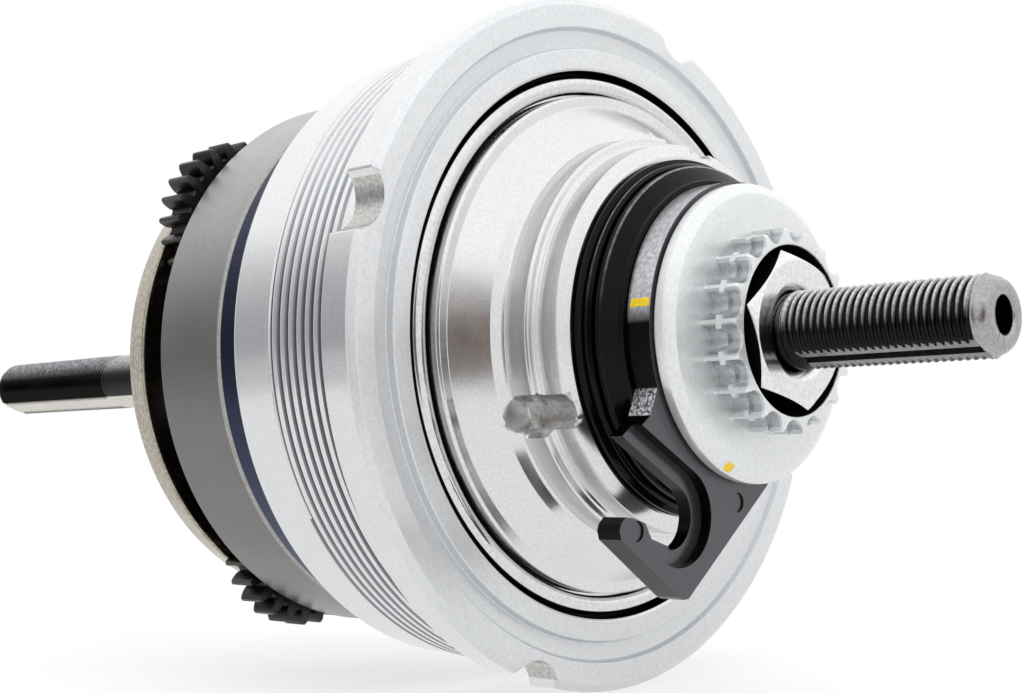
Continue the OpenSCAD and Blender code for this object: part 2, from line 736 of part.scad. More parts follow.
// Slot centre in the arm, and the direction in which the slot opens
slot_centre = [-13.1, -22];
slot_dir = 151.3;

// Straight slot of the given width that runs on past the arm's edge
module slot_outline(width, length) {
    translate(slot_centre) rotate(slot_dir) {
        circle(d = width);
        translate([0, -width / 2]) square([length, width]);
    }
}

// Arm with a slot for the cable housing stop
module cable_arm() {
    r = arm_d / 2;
    color("#4c4b50") along_axle() difference() {
        translate([0, 0, arm_back]) linear_extrude(arm_w) difference() {
            union() {
                circle(r = r);
                polygon(arm_corners);
            }
            circle(d = collar_d);
            slot_outline(slot_w, 14);
        }
        translate([0, 0, arm_front - recess_depth]) linear_extrude(arm_w)
            difference() {
                slot_outline(recess_w, 16);
                translate(slot_centre) rotate(slot_dir) translate([1.2, 0])
                    square([30, 20]);
            }
        for (place = [[-20.9, -23.4], [-2, -20.4]])
            translate([place[0], place[1], arm_front - 0.25]) cylinder(r = 1.1, h = 1);
    }
}

// Toothed ring that locks the arm, turned by hand to release it
module fixing_ring() {
    r = fixing_d / 2;
    boss_r = boss_d / 2;
    top = fixing_front + boss_h;
    color("#cfd0d2") along_axle() difference() {
        lathe([[collar_d / 2 + run_gap, fixing_back], [r - 0.3, fixing_back],
            [r, fixing_back + 0.3], [r, fixing_front - 0.9], [r - 1.3, fixing_front],
            [boss_r, fixing_front], [boss_r, fixing_front + 1.7],
            [boss_r - 0.7, fixing_front + 1.9], [boss_r - 0.7, fixing_front + 2.7],
            [boss_r, fixing_front + 2.9], [boss_r, top - 0.3], [boss_r - 0.3, top],
            [collar_d / 2 + run_gap, top]]);
        around(flute_count, flute_angle) translate([boss_r + 0.15, 0, 0])
            bar(flute_r, fixing_front - 0.2, top + 1);
    }
}

// Hexagon nut with bevelled corners
module nut(from, to, bevel_from, bevel_to) {
    corner_r = nut_af / 2 / cos(30);
    difference() {
        intersection() {
            rotate(flat_angle - 22) translate([0, 0, from])
                cylinder(r = corner_r, h = to - from, $fn = 6);
            lathe([[0, from], [corner_r - bevel_from, from],
                [corner_r, from + bevel_from * 0.6], [corner_r, to - bevel_to * 0.6],
                [corner_r - bevel_to, to], [0, to]]);
        }
        bar(axle_d / 2, from - 1, to + 1);
        translate([0, 0, to - 0.6]) cylinder(r1 = axle_d / 2, r2 = axle_d / 2 + 0.7, h = 0.61);
    }
}

module axle_locknut() {
    color("#dcdcda") along_axle() nut(collar_front, nut_front, 0, 1.3);
}

hub_axle();
sun_gear_fixed();
sun_gear_floating();
planet_gear_1();
planet_gear_2();
planet_gear_3();
planet_pins();
carrier_cover();
carrier_plate();
carrier_screws();
carrier_bush();
gear_ring();
clutch_cam_ring();
clutch_rollers();
roller_cage();
ball_ring();
main_bearing_balls();
main_ball_cage();
driver();
dust_cap();
drive_pawl_1();
drive_pawl_2();
drive_pawl_3();
driver_bearing_balls();
driver_ball_cage();
drive_cone();
driver_cap();
cable_pulley();
return_spring();
cable_arm();
fixing_ring();
axle_locknut();
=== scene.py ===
"""Visual model of an internal hub gear unit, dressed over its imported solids.

Pieces are laid out in millimetres by radius, by distance along the axle from the
shell seat towards the drive end, and by angle about the axle, seen from the drive end.
"""
import logging
import math
from dataclasses import dataclass
from enum import Enum
from typing import Callable, Iterable, Optional, Sequence

import bmesh
import bpy
from mathutils import Matrix, Vector


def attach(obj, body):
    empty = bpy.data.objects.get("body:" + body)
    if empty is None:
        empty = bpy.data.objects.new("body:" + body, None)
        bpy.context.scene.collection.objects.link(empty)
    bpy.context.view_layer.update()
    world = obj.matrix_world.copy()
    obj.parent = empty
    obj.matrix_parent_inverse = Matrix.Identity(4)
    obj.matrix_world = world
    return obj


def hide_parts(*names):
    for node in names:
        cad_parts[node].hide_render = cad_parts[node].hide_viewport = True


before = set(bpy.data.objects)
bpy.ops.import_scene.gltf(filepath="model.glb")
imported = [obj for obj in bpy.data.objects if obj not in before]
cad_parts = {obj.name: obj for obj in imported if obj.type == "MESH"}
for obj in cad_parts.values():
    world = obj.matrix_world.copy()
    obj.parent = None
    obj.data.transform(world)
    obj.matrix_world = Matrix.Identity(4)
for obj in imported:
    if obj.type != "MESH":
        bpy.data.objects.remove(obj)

LOG = logging.getLogger("hub_gear")
MM = 0.001
Point = tuple[float, float]
Place = tuple[float, float, float]
Cut = Callable[[float, float, float], float]
Test = Callable[[float, float, float], bool]
WHITE = (1.0, 1.0, 1.0, 1.0)
# Shares of the fine noise between which the shade turns into the colour
SPECK = (0.38, 0.62)
# Pointiness between which an edge takes the edge colour
EDGE_POINTINESS = (0.52, 0.58)
# Share of the normal along the axle from which a face counts as an end face
END_FACE = (0.80, 0.92)
# How far a brushed surface draws a reflection out, and the quarter turn across its marks
BRUSHED_PULL, ACROSS = 0.45, 0.25


class Surface(Enum):
    """How the surface of a finish was made; a brushed one draws its reflections out."""

    TURNED = "turned"
    BRUSHED = "brushed"
    BLASTED = "blasted"
    PRESSED = "pressed"
    POLISHED = "polished"
    MOULDED = "moulded"


def linear(code: str) -> tuple[float, float, float, float]:
    """Turns an sRGB hex colour to linear red, green, blue and alpha.

    Args:
        code: Six hex digits after a hash.

    Returns:
        The four linear channels.
    """
    channels = [int(code[i:i + 2], 16) / 255 for i in (1, 3, 5)]
    flat = [c / 12.92 if c <= 0.04045 else ((c + 0.055) / 1.055) ** 2.4 for c in channels]
    return (flat[0], flat[1], flat[2], 1.0)


def add(tree: bpy.types.NodeTree, kind: str, inputs: Optional[dict] = None,
        **settings: object) -> bpy.types.Node:
    """Adds a node with its settings and links.

    Args:
        tree: The node tree.
        kind: The node's type name.
        inputs: Values or sockets by the name or number of the input.
        **settings: Properties of the node itself.

    Returns:
        The new node.
    """
    made = tree.nodes.new(kind)
    for key, value in settings.items():
        setattr(made, key, value)
    for key, value in (inputs or {}).items():
        if isinstance(value, bpy.types.NodeSocket):
            tree.links.new(value, made.inputs[key])
        else:
            made.inputs[key].default_value = value
    return made


@dataclass(frozen=True)
class Finish:
    """A finish with colour, grain and relief in real millimetres.

    Colour and shade alternate in the grain. Edge is the colour laid on sharp edges, found
    by pointiness, and face that of flat end faces. Root holds the radii where the painted
    shade of the thread roots is full and where it ends, and under the heights of the same
    kind for a colour painted on the lower part: painted shade on most finishes and a
    lighter painted reflection on the blued ring.
    """

    name: str
    surface: Surface
    colour: str
    shade: str
    metallic: float
    roughness: float
    rough_spread: float = 0.06
    grain_mm: float = 0.4
    grain_depth: float = 0.004
    line_mm: float = 0.3
    line_depth: float = 0.0
    cloud_mm: float = 7.0
    specular: float = 0.5
    edge: Optional[str] = None
    root: Optional[tuple[float, float, str]] = None
    under: Optional[tuple[float, float, str]] = None
    face: Optional[str] = None

    def material(self) -> bpy.types.Material:
        """Builds the material at its first use.

        Returns:
            The material, the same one each time.
        """
        ready = bpy.data.materials.get(self.name)
        if ready:
            return ready
        LOG.info("finish %s, %s", self.name, self.surface.value)
        made = bpy.data.materials.new(self.name)
        made.use_nodes = True
        tree = made.node_tree
        tree.nodes.clear()
        place = add(tree, "ShaderNodeTexCoord")
        axes = add(tree, "ShaderNodeSeparateXYZ", {0: place.outputs["Object"]})
        x2 = add(tree, "ShaderNodeMath", {0: axes.outputs[0], 1: axes.outputs[0]},
                 operation="MULTIPLY")
        z2 = add(tree, "ShaderNodeMath",
                 {0: axes.outputs[2], 1: axes.outputs[2], 2: x2.outputs[0]},
                 operation="MULTIPLY_ADD")
        radius = add(tree, "ShaderNodeMath", {0: z2.outputs[0]}, operation="SQRT")
        along = add(tree, "ShaderNodeMath", {0: radius.outputs[0], 1: axes.outputs[1]},
                    operation="SUBTRACT")
        grain = add(tree, "ShaderNodeTexNoise",
                    {"Vector": place.outputs["Object"], "Scale": 1 / (self.grain_mm * MM),
                     "Detail": 3.0, "Roughness": 0.6})
        cloud = add(tree, "ShaderNodeTexNoise",
                    {"Vector": place.outputs["Object"], "Scale": 1 / (self.cloud_mm * MM),
                     "Detail": 4.0, "Roughness": 0.55})
        lines = add(tree, "ShaderNodeTexNoise",
                    {"W": along.outputs[0], "Scale": 1 / (self.line_mm * MM),
                     "Detail": 2.0, "Roughness": 0.6}, noise_dimensions="1D")
        speck = add(tree, "ShaderNodeMapRange",
                    {0: grain.outputs[0], 1: SPECK[0], 2: SPECK[1]}, clamp=True)
        haze = add(tree, "ShaderNodeMapRange",
                   {0: cloud.outputs[0], 1: 0.3, 2: 0.7,
                    3: self.roughness - self.rough_spread,
                    4: self.roughness + self.rough_spread}, clamp=True)
        tint = add(tree, "ShaderNodeMix",
                   {0: speck.outputs[0], 6: linear(self.shade), 7: linear(self.colour)},
                   data_type="RGBA")
        colour = tint.outputs[2]

        def blend(factor: bpy.types.NodeSocket, low: object, high: object,
                  start: float, end: float) -> bpy.types.NodeSocket:
            """Mixes two colours as a value rises.

            Args:
                factor: The value.
                low: Colour or socket up to the start.
                high: Colour or socket from the end on.
                start: Where the change starts.
                end: Where it ends.

            Returns:
                The mixed colour's socket.
            """
            ramp = add(tree, "ShaderNodeMapRange", {0: factor, 1: start, 2: end},
                       clamp=True)
            return add(tree, "ShaderNodeMix", {0: ramp.outputs[0], 6: low, 7: high},
                       data_type="RGBA").outputs[2]

        # Sharp edges take the edge colour, found by pointiness
        if self.edge:
            edge_geometry = add(tree, "ShaderNodeNewGeometry")
            colour = blend(edge_geometry.outputs["Pointiness"], colour, linear(self.edge),
                           *EDGE_POINTINESS)
        # Painted shade: the thread roots darker by radius
        if self.root:
            colour = blend(radius.outputs[0], linear(self.root[2]), colour,
                           self.root[0] * MM, self.root[1] * MM)
        # Painted by height on the lower part: painted shade, on the blued ring a painted
        # reflection
        if self.under:
            colour = blend(axes.outputs[2], linear(self.under[2]), colour,
                           self.under[0] * MM, self.under[1] * MM)
        if self.face:
            facing = add(tree, "ShaderNodeSeparateXYZ", {0: place.outputs["Normal"]})
            size = add(tree, "ShaderNodeMath", {0: facing.outputs[1]},
                       operation="ABSOLUTE")
            colour = blend(size.outputs[0], colour, linear(self.face), *END_FACE)
        height = add(tree, "ShaderNodeMath",
                     {0: lines.outputs[0], 1: self.line_depth * MM}, operation="MULTIPLY")
        relief = add(tree, "ShaderNodeMath",
                     {0: grain.outputs[0], 1: self.grain_depth * MM,
                      2: height.outputs[0]}, operation="MULTIPLY_ADD")
        bump = add(tree, "ShaderNodeBump",
                   {"Strength": 1.0, "Distance": 1.0, "Height": relief.outputs[0]})
        shader = add(tree, "ShaderNodeBsdfPrincipled",
                     {"Base Color": colour, "Metallic": self.metallic,
                      "Roughness": haze.outputs[0], "Normal": bump.outputs[0],
                      "Specular IOR Level": self.specular})
        if self.surface is Surface.BRUSHED:
            about = add(tree, "ShaderNodeTangent", direction_type="RADIAL", axis="Y")
            tree.links.new(about.outputs[0], shader.inputs["Tangent"])
            shader.inputs["Anisotropic"].default_value = BRUSHED_PULL
            shader.inputs["Anisotropic Rotation"].default_value = ACROSS
        add(tree, "ShaderNodeOutputMaterial", {0: shader.outputs[0]})
        return made


# Bright zinc on turned steel: pale mirror haze drawn out across the tool marks
ZINC_TURNED = Finish("zinc_plated_steel_turned", Surface.BRUSHED, "#DFE0E1", "#D6D7D8",
                     1.0, 0.20, 0.05, 0.30, 0.0013, 0.45, 0.004)
# Zinc dulled on the flange's front: satin, too matt to mirror the black parts
ZINC_SATIN = Finish("zinc_plated_steel_satin", Surface.TURNED, "#D6D8DA", "#CCCED0",
                    0.60, 0.33, 0.05, 0.35, 0.0015, 0.5, 0.003)
# Zinc in the roots of the shell thread, painted darker as shade and duller, so each root
# reads as a line; darker again towards the bottom, painted shade
ZINC_ROOT_SHADE = Finish("zinc_root_painted_shade", Surface.TURNED, "#D2D4D6", "#C4C6C9",
                   1.0, 0.30, 0.05, 0.30, 0.003, 0.45, 0.004, under=(4.0, 22.0, "#8E9094"))
# Zinc in the milled troughs: slightly stained, a shade darker than the turned faces
ZINC_MILLED = Finish("zinc_plated_steel_milled", Surface.BLASTED, "#C8C7C5", "#A9A6A2",
                     1.0, 0.27, 0.06, 0.45, 0.004)
# Painted shade: flat black on the bore and floor of the gap beside the dust cap
GAP_PAINTED_SHADE = Finish("gap_painted_shade_black", Surface.MOULDED, "#050506", "#030303",
                     0.0, 0.50, 0.05, 0.5, 0.004, specular=0.1)
# Painted shade: flat black that throws nothing back, on the fixing ring's bore and the
# driver's wall beside the dust cap
BORE_PAINTED_SHADE = Finish("bore_painted_shade_black", Surface.TURNED, "#0B0B0D", "#060607",
                          0.0, 0.60, 0.05, 0.5, 0.004, specular=0.1)
# The same zinc on a stamped washer: soft, so that its flutes show by shading
ZINC_WASHER = Finish("zinc_plated_steel_washer", Surface.TURNED, "#DDDFE0", "#D3D5D6",
                     0.6, 0.33, 0.05, 0.4, 0.0022, 0.6, 0.001)
# Zinc down inside the washer's flutes, painted grey as shade, so the bright rims stand out
ZINC_FLUTE_SHADE = Finish("zinc_flute_painted_shade", Surface.TURNED, "#C2C5C8", "#B4B7BA",
                    0.8, 0.28, 0.05, 0.4, 0.003, 0.6, 0.001)
# Polished stainless: clean dark and light bands
STEEL_POLISHED = Finish("stainless_steel_polished", Surface.POLISHED, "#DEDDDD", "#D2D0D0",
                        1.0, 0.10, 0.03, 0.5, 0.001)
# Nickel on a cold forged nut: bright faces with faint pits
NICKEL_NUT = Finish("nickel_plated_steel_forged", Surface.POLISHED, "#EDEDEC", "#DFDFDD",
                    1.0, 0.20, 0.05, 0.5, 0.003)
# Hardened steel left matt grey by the furnace: soft sheen, fine sand, painted darker
# towards the bottom as shade
STEEL_HARDENED = Finish("hardened_steel_matt", Surface.BLASTED, "#ADABAB", "#A19F9E",
                        1.0, 0.34, 0.05, 0.45, 0.005, 0.5, 0.001,
                        under=(-2.0, 28.0, "#7A7877"))
# Hardened steel ground on the gear ring's front chamfer: glossier, and free of the painted
# shade below, so it shows one pale line, a painted highlight
STEEL_CHAMFER = Finish("hardened_steel_chamfer", Surface.TURNED, "#A8A9A6", "#989996",
                       1.0, 0.28, 0.05, 0.45, 0.003)
# Heat blued steel: deep navy with a grey sheen on top, painted lighter grey-blue towards
# the bottom as a reflection
STEEL_BLUED = Finish("blued_steel", Surface.TURNED, "#262B43", "#191D31",
                     1.0, 0.24, 0.06, 0.35, 0.006, 0.5, 0.002,
                     under=(-26.0, -4.0, "#3E4458"))
# Black oxide on cut gears: near black with an oily sheen, sharp edges lighter in dark grey
STEEL_BLACK_OXIDE = Finish("black_oxide_steel_hobbed", Surface.TURNED, "#1A1B1A", "#101110",
                           0.85, 0.32, 0.08, 0.5, 0.008, 0.4, 0.002, edge="#454643")
# Pressed steel cover: warm beige, drawn streaks
STEEL_PRESSED = Finish("zinc_passivated_steel_pressed", Surface.PRESSED, "#B3AC9E",
                       "#948C7F", 1.0, 0.26, 0.08, 0.6, 0.004, 0.4, 0.004)
# Rolled thread, dark plated: crests painted white as highlight over roots painted black as
# shade, the underside painted dark as shade
STEEL_THREAD = Finish("dark_plated_steel_rolled", Surface.TURNED, "#DAD8D8", "#B4B1B1",
                      1.0, 0.16, 0.04, 0.4, 0.003, root=(4.36, 4.66, "#0E0D0F"),
                      under=(-0.6, 3.0, "#232123"))
# The same thread far from the light: charcoal with a few thin glints on top
STEEL_THREAD_DARK = Finish("dark_plated_steel_shaded", Surface.TURNED, "#BDBBC0",
                           "#8A888C", 1.0, 0.22, 0.06, 0.6, 0.002,
                           root=(4.40, 4.74, "#161614"), under=(1.2, 3.4, "#1E1E1C"))
# Turned nose of the axle, rubbed bright through the plating
STEEL_NOSE = Finish("plated_steel_nose_turned", Surface.TURNED, "#B0AEB0", "#9E9C9E",
                    1.0, 0.24, 0.05, 0.4, 0.004, 0.4, 0.003)
# Milled floor and walls of the keyway: dull dark grey
STEEL_KEYWAY = Finish("dark_plated_steel_milled", Surface.BLASTED, "#5C5B5E", "#4A494C",
                      0.9, 0.36, 0.05, 0.4, 0.004)
# Flats ground through the plating: pale warm grey
STEEL_FLAT = Finish("steel_flat_ground", Surface.TURNED, "#D3CFC7", "#C9C5BD",
                    1.0, 0.30, 0.05, 0.4, 0.002)
# Flats beside the keyway: ground steel painted mid grey as a grazing reflection of the
# floor
STEEL_FLAT_REFLECTED = Finish("steel_flat_painted_reflection", Surface.TURNED, "#8B8889", "#747172",
                          1.0, 0.26, 0.05, 0.4, 0.002)
# Black plating on the stamped arm: satin grey face; walls painted light grey on top as a
# reflection and black below as shade
STEEL_BLACK_PLATED = Finish("black_plated_steel_stamped", Surface.PRESSED, "#D8D6DA",
                            "#B4B2B6", 0.8, 0.24, 0.05, 0.5, 0.004,
                            under=(0.2, 2.4, "#050506"), face="#58575B")
# Sheared facet of the arm where the plating is rubbed: bright specks on black, partly wear
# and partly painted glints
STEEL_SHEARED = Finish("black_plated_steel_sheared", Surface.BLASTED, "#D9D8DC",
                       "#2A292C", 0.9, 0.25, 0.05, 0.35, 0.03)
# Black acetal: glossy moulding whose ridges take the painted highlight below, a touch
# darker towards the bottom as painted shade
ACETAL_BLACK = Finish("black_acetal_moulded", Surface.MOULDED, "#08080A", "#050506",
                      0.0, 0.14, 0.05, 0.6, 0.003, 0.7, 0.004, specular=0.12,
                      under=(2.0, 16.0, "#040405"))
# The same moulding on its ridges: painted highlight in grey on top, painted shade in black
# below
ACETAL_RIDGE_HIGHLIGHT = Finish("black_acetal_ridge_painted_highlight", Surface.MOULDED, "#7B7D84", "#54565C",
                        0.0, 0.34, 0.05, 0.7, 0.006, specular=0.2,
                        under=(2.0, 17.0, "#060607"))
# Ground steel of the inner pieces: clean grey with fine rings
STEEL_GROUND = Finish("ground_steel", Surface.TURNED, "#B4B3B1", "#8F8E8C",
                      1.0, 0.26, 0.06, 0.4, 0.006, 0.3, 0.004)
# Pressed brass of the cages: warm yellow, softly streaked
BRASS_PRESSED = Finish("brass_pressed", Surface.PRESSED, "#C9A564", "#A5834A",
                       1.0, 0.30, 0.08, 0.6, 0.008)
# Sintered bronze bush: matt, full of pores
BRONZE_SINTERED = Finish("bronze_sintered", Surface.BLASTED, "#A9743F", "#7C5530",
                         0.9, 0.46, 0.06, 0.3, 0.02)
# Enamel dab put on with a pin: yellow, glossy, uneven
PAINT_YELLOW = Finish("enamel_yellow_dabbed", Surface.MOULDED, "#E6C81C", "#D2AE12",
                      0.0, 0.28, 0.06, 0.5, 0.02)


def on_axle(radius: float, along: float, degrees: float) -> Place:
    """Places a point about the axle.

    Args:
        radius: Distance from the axle in millimetres.
        along: Distance along it in millimetres.
        degrees: Angle about it.

    Returns:
        The point in metres.
    """
    turn = math.radians(degrees)
    return (radius * math.cos(turn) * MM, -along * MM, radius * math.sin(turn) * MM)


def softened(profile: Sequence[Point], radius: float, steps: int = 3) -> list[Point]:
    """Rounds each corner of a closed profile with a small arc.

    Args:
        profile: Closed outline of radius and distance.
        radius: The most that a corner is rounded by.
        steps: Arc segments in each corner.

    Returns:
        The outline with its corners rounded.
    """
    out: list[Point] = []
    count = len(profile)
    for i in range(count):
        a, b, c = (Vector(profile[(i + k) % count]) for k in (-1, 0, 1))
        back, ahead = a - b, c - b
        if back.length < 1e-6 or ahead.length < 1e-6:
            out.append(tuple(b))
            continue
        bend = math.pi - back.angle(ahead)
        if bend < 0.09:
            out.append(tuple(b))
            continue
        reach = min(radius * math.tan(bend / 2), back.length * 0.4, ahead.length * 0.4)
        start, end = b + back.normalized() * reach, b + ahead.normalized() * reach
        for k in range(steps + 1):
            t = k / steps
            out.append(tuple(start.lerp(b, t).lerp(b.lerp(end, t), t)))
    return out


def refined(profile: Sequence[Point],
            longest: Callable[[float, float], float]) -> list[Point]:
    """Splits the long sides of a closed profile.

    Args:
        profile: Closed outline of radius and distance.
        longest: Gives the most that a side from a radius and distance may measure.

    Returns:
        The same outline with more points.
    """
    out: list[Point] = []
    for i, here in enumerate(profile):
        there = profile[(i + 1) % len(profile)]
        parts = max(1, math.ceil(math.dist(here, there) / longest(*here)))
        out += [(here[0] + (there[0] - here[0]) * k / parts,
                 here[1] + (there[1] - here[1]) * k / parts) for k in range(parts)]
    return out


def arc(centre: Sequence[float], radius: float, start: float, end: float,
        steps: int) -> list[Point]:
    """Lists points along a circle.

    Args:
        centre: Middle of the circle.
        radius: Its radius.
        start: First angle in degrees.
        end: Last angle.
        steps: Steps between them.

    Returns:
        The points, with both ends.
    """
    turns = [math.radians(start + (end - start) * k / steps) for k in range(steps + 1)]
    return [(centre[0] + radius * math.cos(a), centre[1] + radius * math.sin(a))
            for a in turns]


def grid(rows: int, wide: int, closed: bool = True) -> list[tuple[int, ...]]:
    """Lists the faces between points that stand in rows.

    Args:
        rows: Number of rows.
        wide: Points in each row.
        closed: Whether the last row and column join the first.

    Returns:
        Faces as tuples of point numbers.
    """
    less = 0 if closed else 1
    return [(i * wide + j, i * wide + (j + 1) % wide,
             (i + 1) % rows * wide + (j + 1) % wide, (i + 1) % rows * wide + j)
            for i in range(rows - less) for j in range(wide - less)]


def angles(count: int, close_ups: Iterable[tuple[float, float, int]] = ()) -> list[float]:
    """Lists angles round the circle, with finer steps in some places.

    Args:
        count: Even steps round the circle.
        close_ups: Centre, half width and steps of each finer stretch.

    Returns:
        The sorted angles in degrees.
    """
    found = {round(i * 360 / count, 4) for i in range(count)}
    for centre, half, steps in close_ups:
        found |= {round((centre + half * (2 * k / steps - 1)) % 360, 4)
                  for k in range(steps + 1)}
    ordered = sorted(found)
    return [a for i, a in enumerate(ordered) if i == 0 or a - ordered[i - 1] > 0.02]


def mesh_piece(name: str, verts: Sequence, faces: Sequence, finish: Finish,
               sharp: float = 32.0) -> bpy.types.Object:
    """Makes an object from points in metres and faces, welded and shaded.

    Args:
        name: The piece's name.
        verts: Points in metres.
        faces: Tuples of point numbers.
        finish: The finish of the whole piece.
        sharp: Edges that bend by more than this many degrees stay sharp.

    Returns:
        The new object, linked to the scene.
    """
    data = bpy.data.meshes.new(name)
    data.from_pydata(list(verts), [], list(faces))
    work = bmesh.new()
    work.from_mesh(data)
    bmesh.ops.remove_doubles(work, verts=work.verts, dist=2e-6)
    bmesh.ops.dissolve_degenerate(work, edges=work.edges, dist=1e-6)
    bmesh.ops.recalc_face_normals(work, faces=work.faces)
    work.to_mesh(data)
    work.free()
    data.shade_smooth()
    data.set_sharp_from_angle(angle=math.radians(sharp))
    data.materials.append(finish.material())
    piece = bpy.data.objects.new(name, data)
    bpy.context.scene.collection.objects.link(piece)
    levelled(piece)
    return piece


def levelled(piece: bpy.types.Object) -> None:
    """Keeps flat faces flat to the eye beside their rounded corners.

    Args:
        piece: The piece whose normals are weighted.
    """
    step = piece.modifiers.new("level", "WEIGHTED_NORMAL")
    step.keep_sharp, step.weight = True, 100
    settle(piece)


def settle(piece: bpy.types.Object) -> None:
    """Replaces a piece's mesh by what its modifiers make of it.

    Args:
        piece: The piece, whose modifiers are gone afterwards.
    """
    view = bpy.context.evaluated_depsgraph_get()
    made = bpy.data.meshes.new_from_object(piece.evaluated_get(view))
    piece.modifiers.clear()
    old, piece.data = piece.data, made
    bpy.data.meshes.remove(old)


def marked(piece: bpy.types.Object, finish: Finish, test: Test) -> None:
    """Gives another finish to the faces whose middle passes a test.

    Args:
        piece: The piece.
        finish: The other finish.
        test: Takes the radius, the distance along the axle and the angle.
    """
    piece.data.materials.append(finish.material())
    slot = len(piece.data.materials) - 1
    for face in piece.data.polygons:
        x, y, z = face.center
        if test(math.hypot(x, z) / MM, -y / MM, math.degrees(math.atan2(z, x)) % 360):
            face.material_index = slot


def helix(start: float, end: float, pitch: float, steps: int,
          columns: Sequence[float]) -> list[list[float]]:
    """Rows of distances that follow a thread round the axle.

    Args:
        start: Where the thread starts along the axle.
        end: Where it ends.
        pitch: Rise in one turn.
        steps: Rows in one pitch.
        columns: Angles of the columns, from the first to the same place a turn later.

    Returns:
        For each row the distance at each column, kept between start and end.
    """
    first = -steps - 1
    last = round((end - start) / pitch * steps) + 1
    return [[min(max(start + pitch * ((a - columns[0]) / 360 + k / steps), start), end)
             for a in columns] for k in range(first, last + 1)]


def turned(name: str, profile: Sequence[Point], finish: Finish, around: Sequence[float],
           cut: Optional[Cut] = None, sharp: float = 32.0) -> bpy.types.Object:
    """Turns a closed profile about the axle, with grooves cut by a function.

    Args:
        name: The piece's name.
        profile: Closed outline of radius and distance along the axle.
        finish: The finish.
        around: The angles of the columns, in degrees.
        cut: Gives the radius left at a radius, distance and angle.
        sharp: Angle above which edges stay sharp.

    Returns:
        The new piece.
    """
    verts = [on_axle(cut(radius, along, a) if cut else radius, along, a)
             for radius, along in profile for a in around]
    return mesh_piece(name, verts, grid(len(profile), len(around)), finish, sharp)


def scooped(radius: float, centre: float, tool: float, off: float) -> float:
    """Radius left by a round cutter that runs along the axle.

    Args:
        radius: Radius before the cut.
        centre: Distance of the cutter from the axle.
        tool: Radius of the cutter.
        off: Angle between the point and the cutter, in degrees.

    Returns:
        The smaller of the two radii.
    """
    turn = math.radians(off)
    side = centre * math.sin(turn)
    if abs(side) >= tool or math.cos(turn) <= 0:
        return radius
    return min(radius, centre * math.cos(turn) - math.sqrt(tool * tool - side * side))


def off_centre(degrees: float, centres: Iterable[float]) -> float:
    """Angle from the nearest centre.

    Args:
        degrees: An angle.
        centres: Angles of the centres.

    Returns:
        The signed difference in degrees.
    """
    return min(((degrees - c + 180) % 360 - 180 for c in centres), key=abs)


def prism(name: str, outline: Sequence[Point], back: float, front: float,
          finish: Finish) -> bpy.types.Object:
    """Extrudes an outline along the axle.

    Args:
        name: The piece's name.
        outline: Points across and up, as seen from the drive end.
        back: Where it starts along the axle.
        front: Where it ends.
        finish: The finish.

    Returns:
        The new piece.
    """
    count = len(outline)
    verts = [(x * MM, -u * MM, z * MM) for u in (back, front) for x, z in outline]
    faces = [tuple(range(count)), tuple(range(2 * count - 1, count - 1, -1))]
    faces += [(i, (i + 1) % count, (i + 1) % count + count, i + count)
              for i in range(count)]
    return mesh_piece(name, verts, faces, finish)


def carve(piece: bpy.types.Object, tool: bpy.types.Object,
          keep: str = "DIFFERENCE") -> None:
    """Cuts a piece with a tool and throws the tool away.

    Args:
        piece: The piece.
        tool: The cutting solid.
        keep: Boolean operation.
    """
    step = piece.modifiers.new("carve", "BOOLEAN")
    step.operation, step.object, step.solver = keep, tool, "EXACT"
    settle(piece)
    bpy.data.objects.remove(tool)


def rounded_edges(piece: bpy.types.Object, width_mm: float, degrees: float = 30.0) -> None:
    """Bevels the sharp edges of a piece and shades it smooth.

    Args:
        piece: The piece.
        width_mm: Width of the bevel.
        degrees: Edges that bend by more than this get one.
    """
    step = piece.modifiers.new("edges", "BEVEL")
    step.width, step.segments, step.limit_method = width_mm * MM, 2, "ANGLE"
    step.angle_limit = math.radians(degrees)
    settle(piece)
    piece.data.shade_smooth()
    piece.data.set_sharp_from_angle(angle=math.radians(40))
    levelled(piece)


def seat(piece: bpy.types.Object, body: str, stands_for: Sequence[str] = ()) -> None:
    """Puts a piece on its body, hides the solids that it stands for and reports it.

    Args:
        piece: The piece.
        body: The body that it rides on.
        stands_for: Nodes that it replaces.
    """
    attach(piece, body)
    if stands_for:
        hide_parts(*stands_for)
    LOG.info("%s rides on %s, %d faces", piece.name, body, len(piece.data.polygons))


def gear_outline(teeth: int, module: float, play: float, turn: float) -> list[Point]:
    """Outline of a wheel with involute teeth, as radius and angle.

    Args:
        teeth: Number of teeth.
        module: Module in millimetres.
        play: Backlash along the pitch circle.
        turn: Angle of the first tooth in degrees.

    Returns:
        Points of radius and angle in degrees, once round.
    """
    pitch = module * teeth / 2
    base = pitch * math.cos(math.radians(20))
    root, tip = pitch - 1.25 * module, pitch + module

    def roll(radius: float) -> float:
        """Involute of the pressure angle at a radius."""
        lean = math.acos(min(1.0, base / radius))
        return math.tan(lean) - lean

    def half(radius: float) -> float:
        """Half angle of a tooth at a radius, in degrees."""
        rise = math.degrees(roll(pitch) - roll(max(radius, base)))
        return 90 / teeth + rise - math.degrees(play / 4 / pitch)

    points: list[Point] = []
    crown, tip = tip, tip - 0.22 * module
    ladder = [root, max(root + 0.05, base), (max(root, base) + pitch) / 2, pitch,
              (pitch + tip) / 2, tip]
    for i in range(teeth):
        middle = turn + i * 360 / teeth
        foot = half(ladder[1])
        gap = 180 / teeth
        points.append((root, middle - (foot + gap) / 2))
        points += [(r, middle - half(r)) for r in ladder]
        points += [(crown, middle - half(tip) * 0.5), (crown, middle + half(tip) * 0.5)]
        points += [(r, middle + half(r)) for r in reversed(ladder)]
        points.append((root, middle + (foot + gap) / 2))
    return points


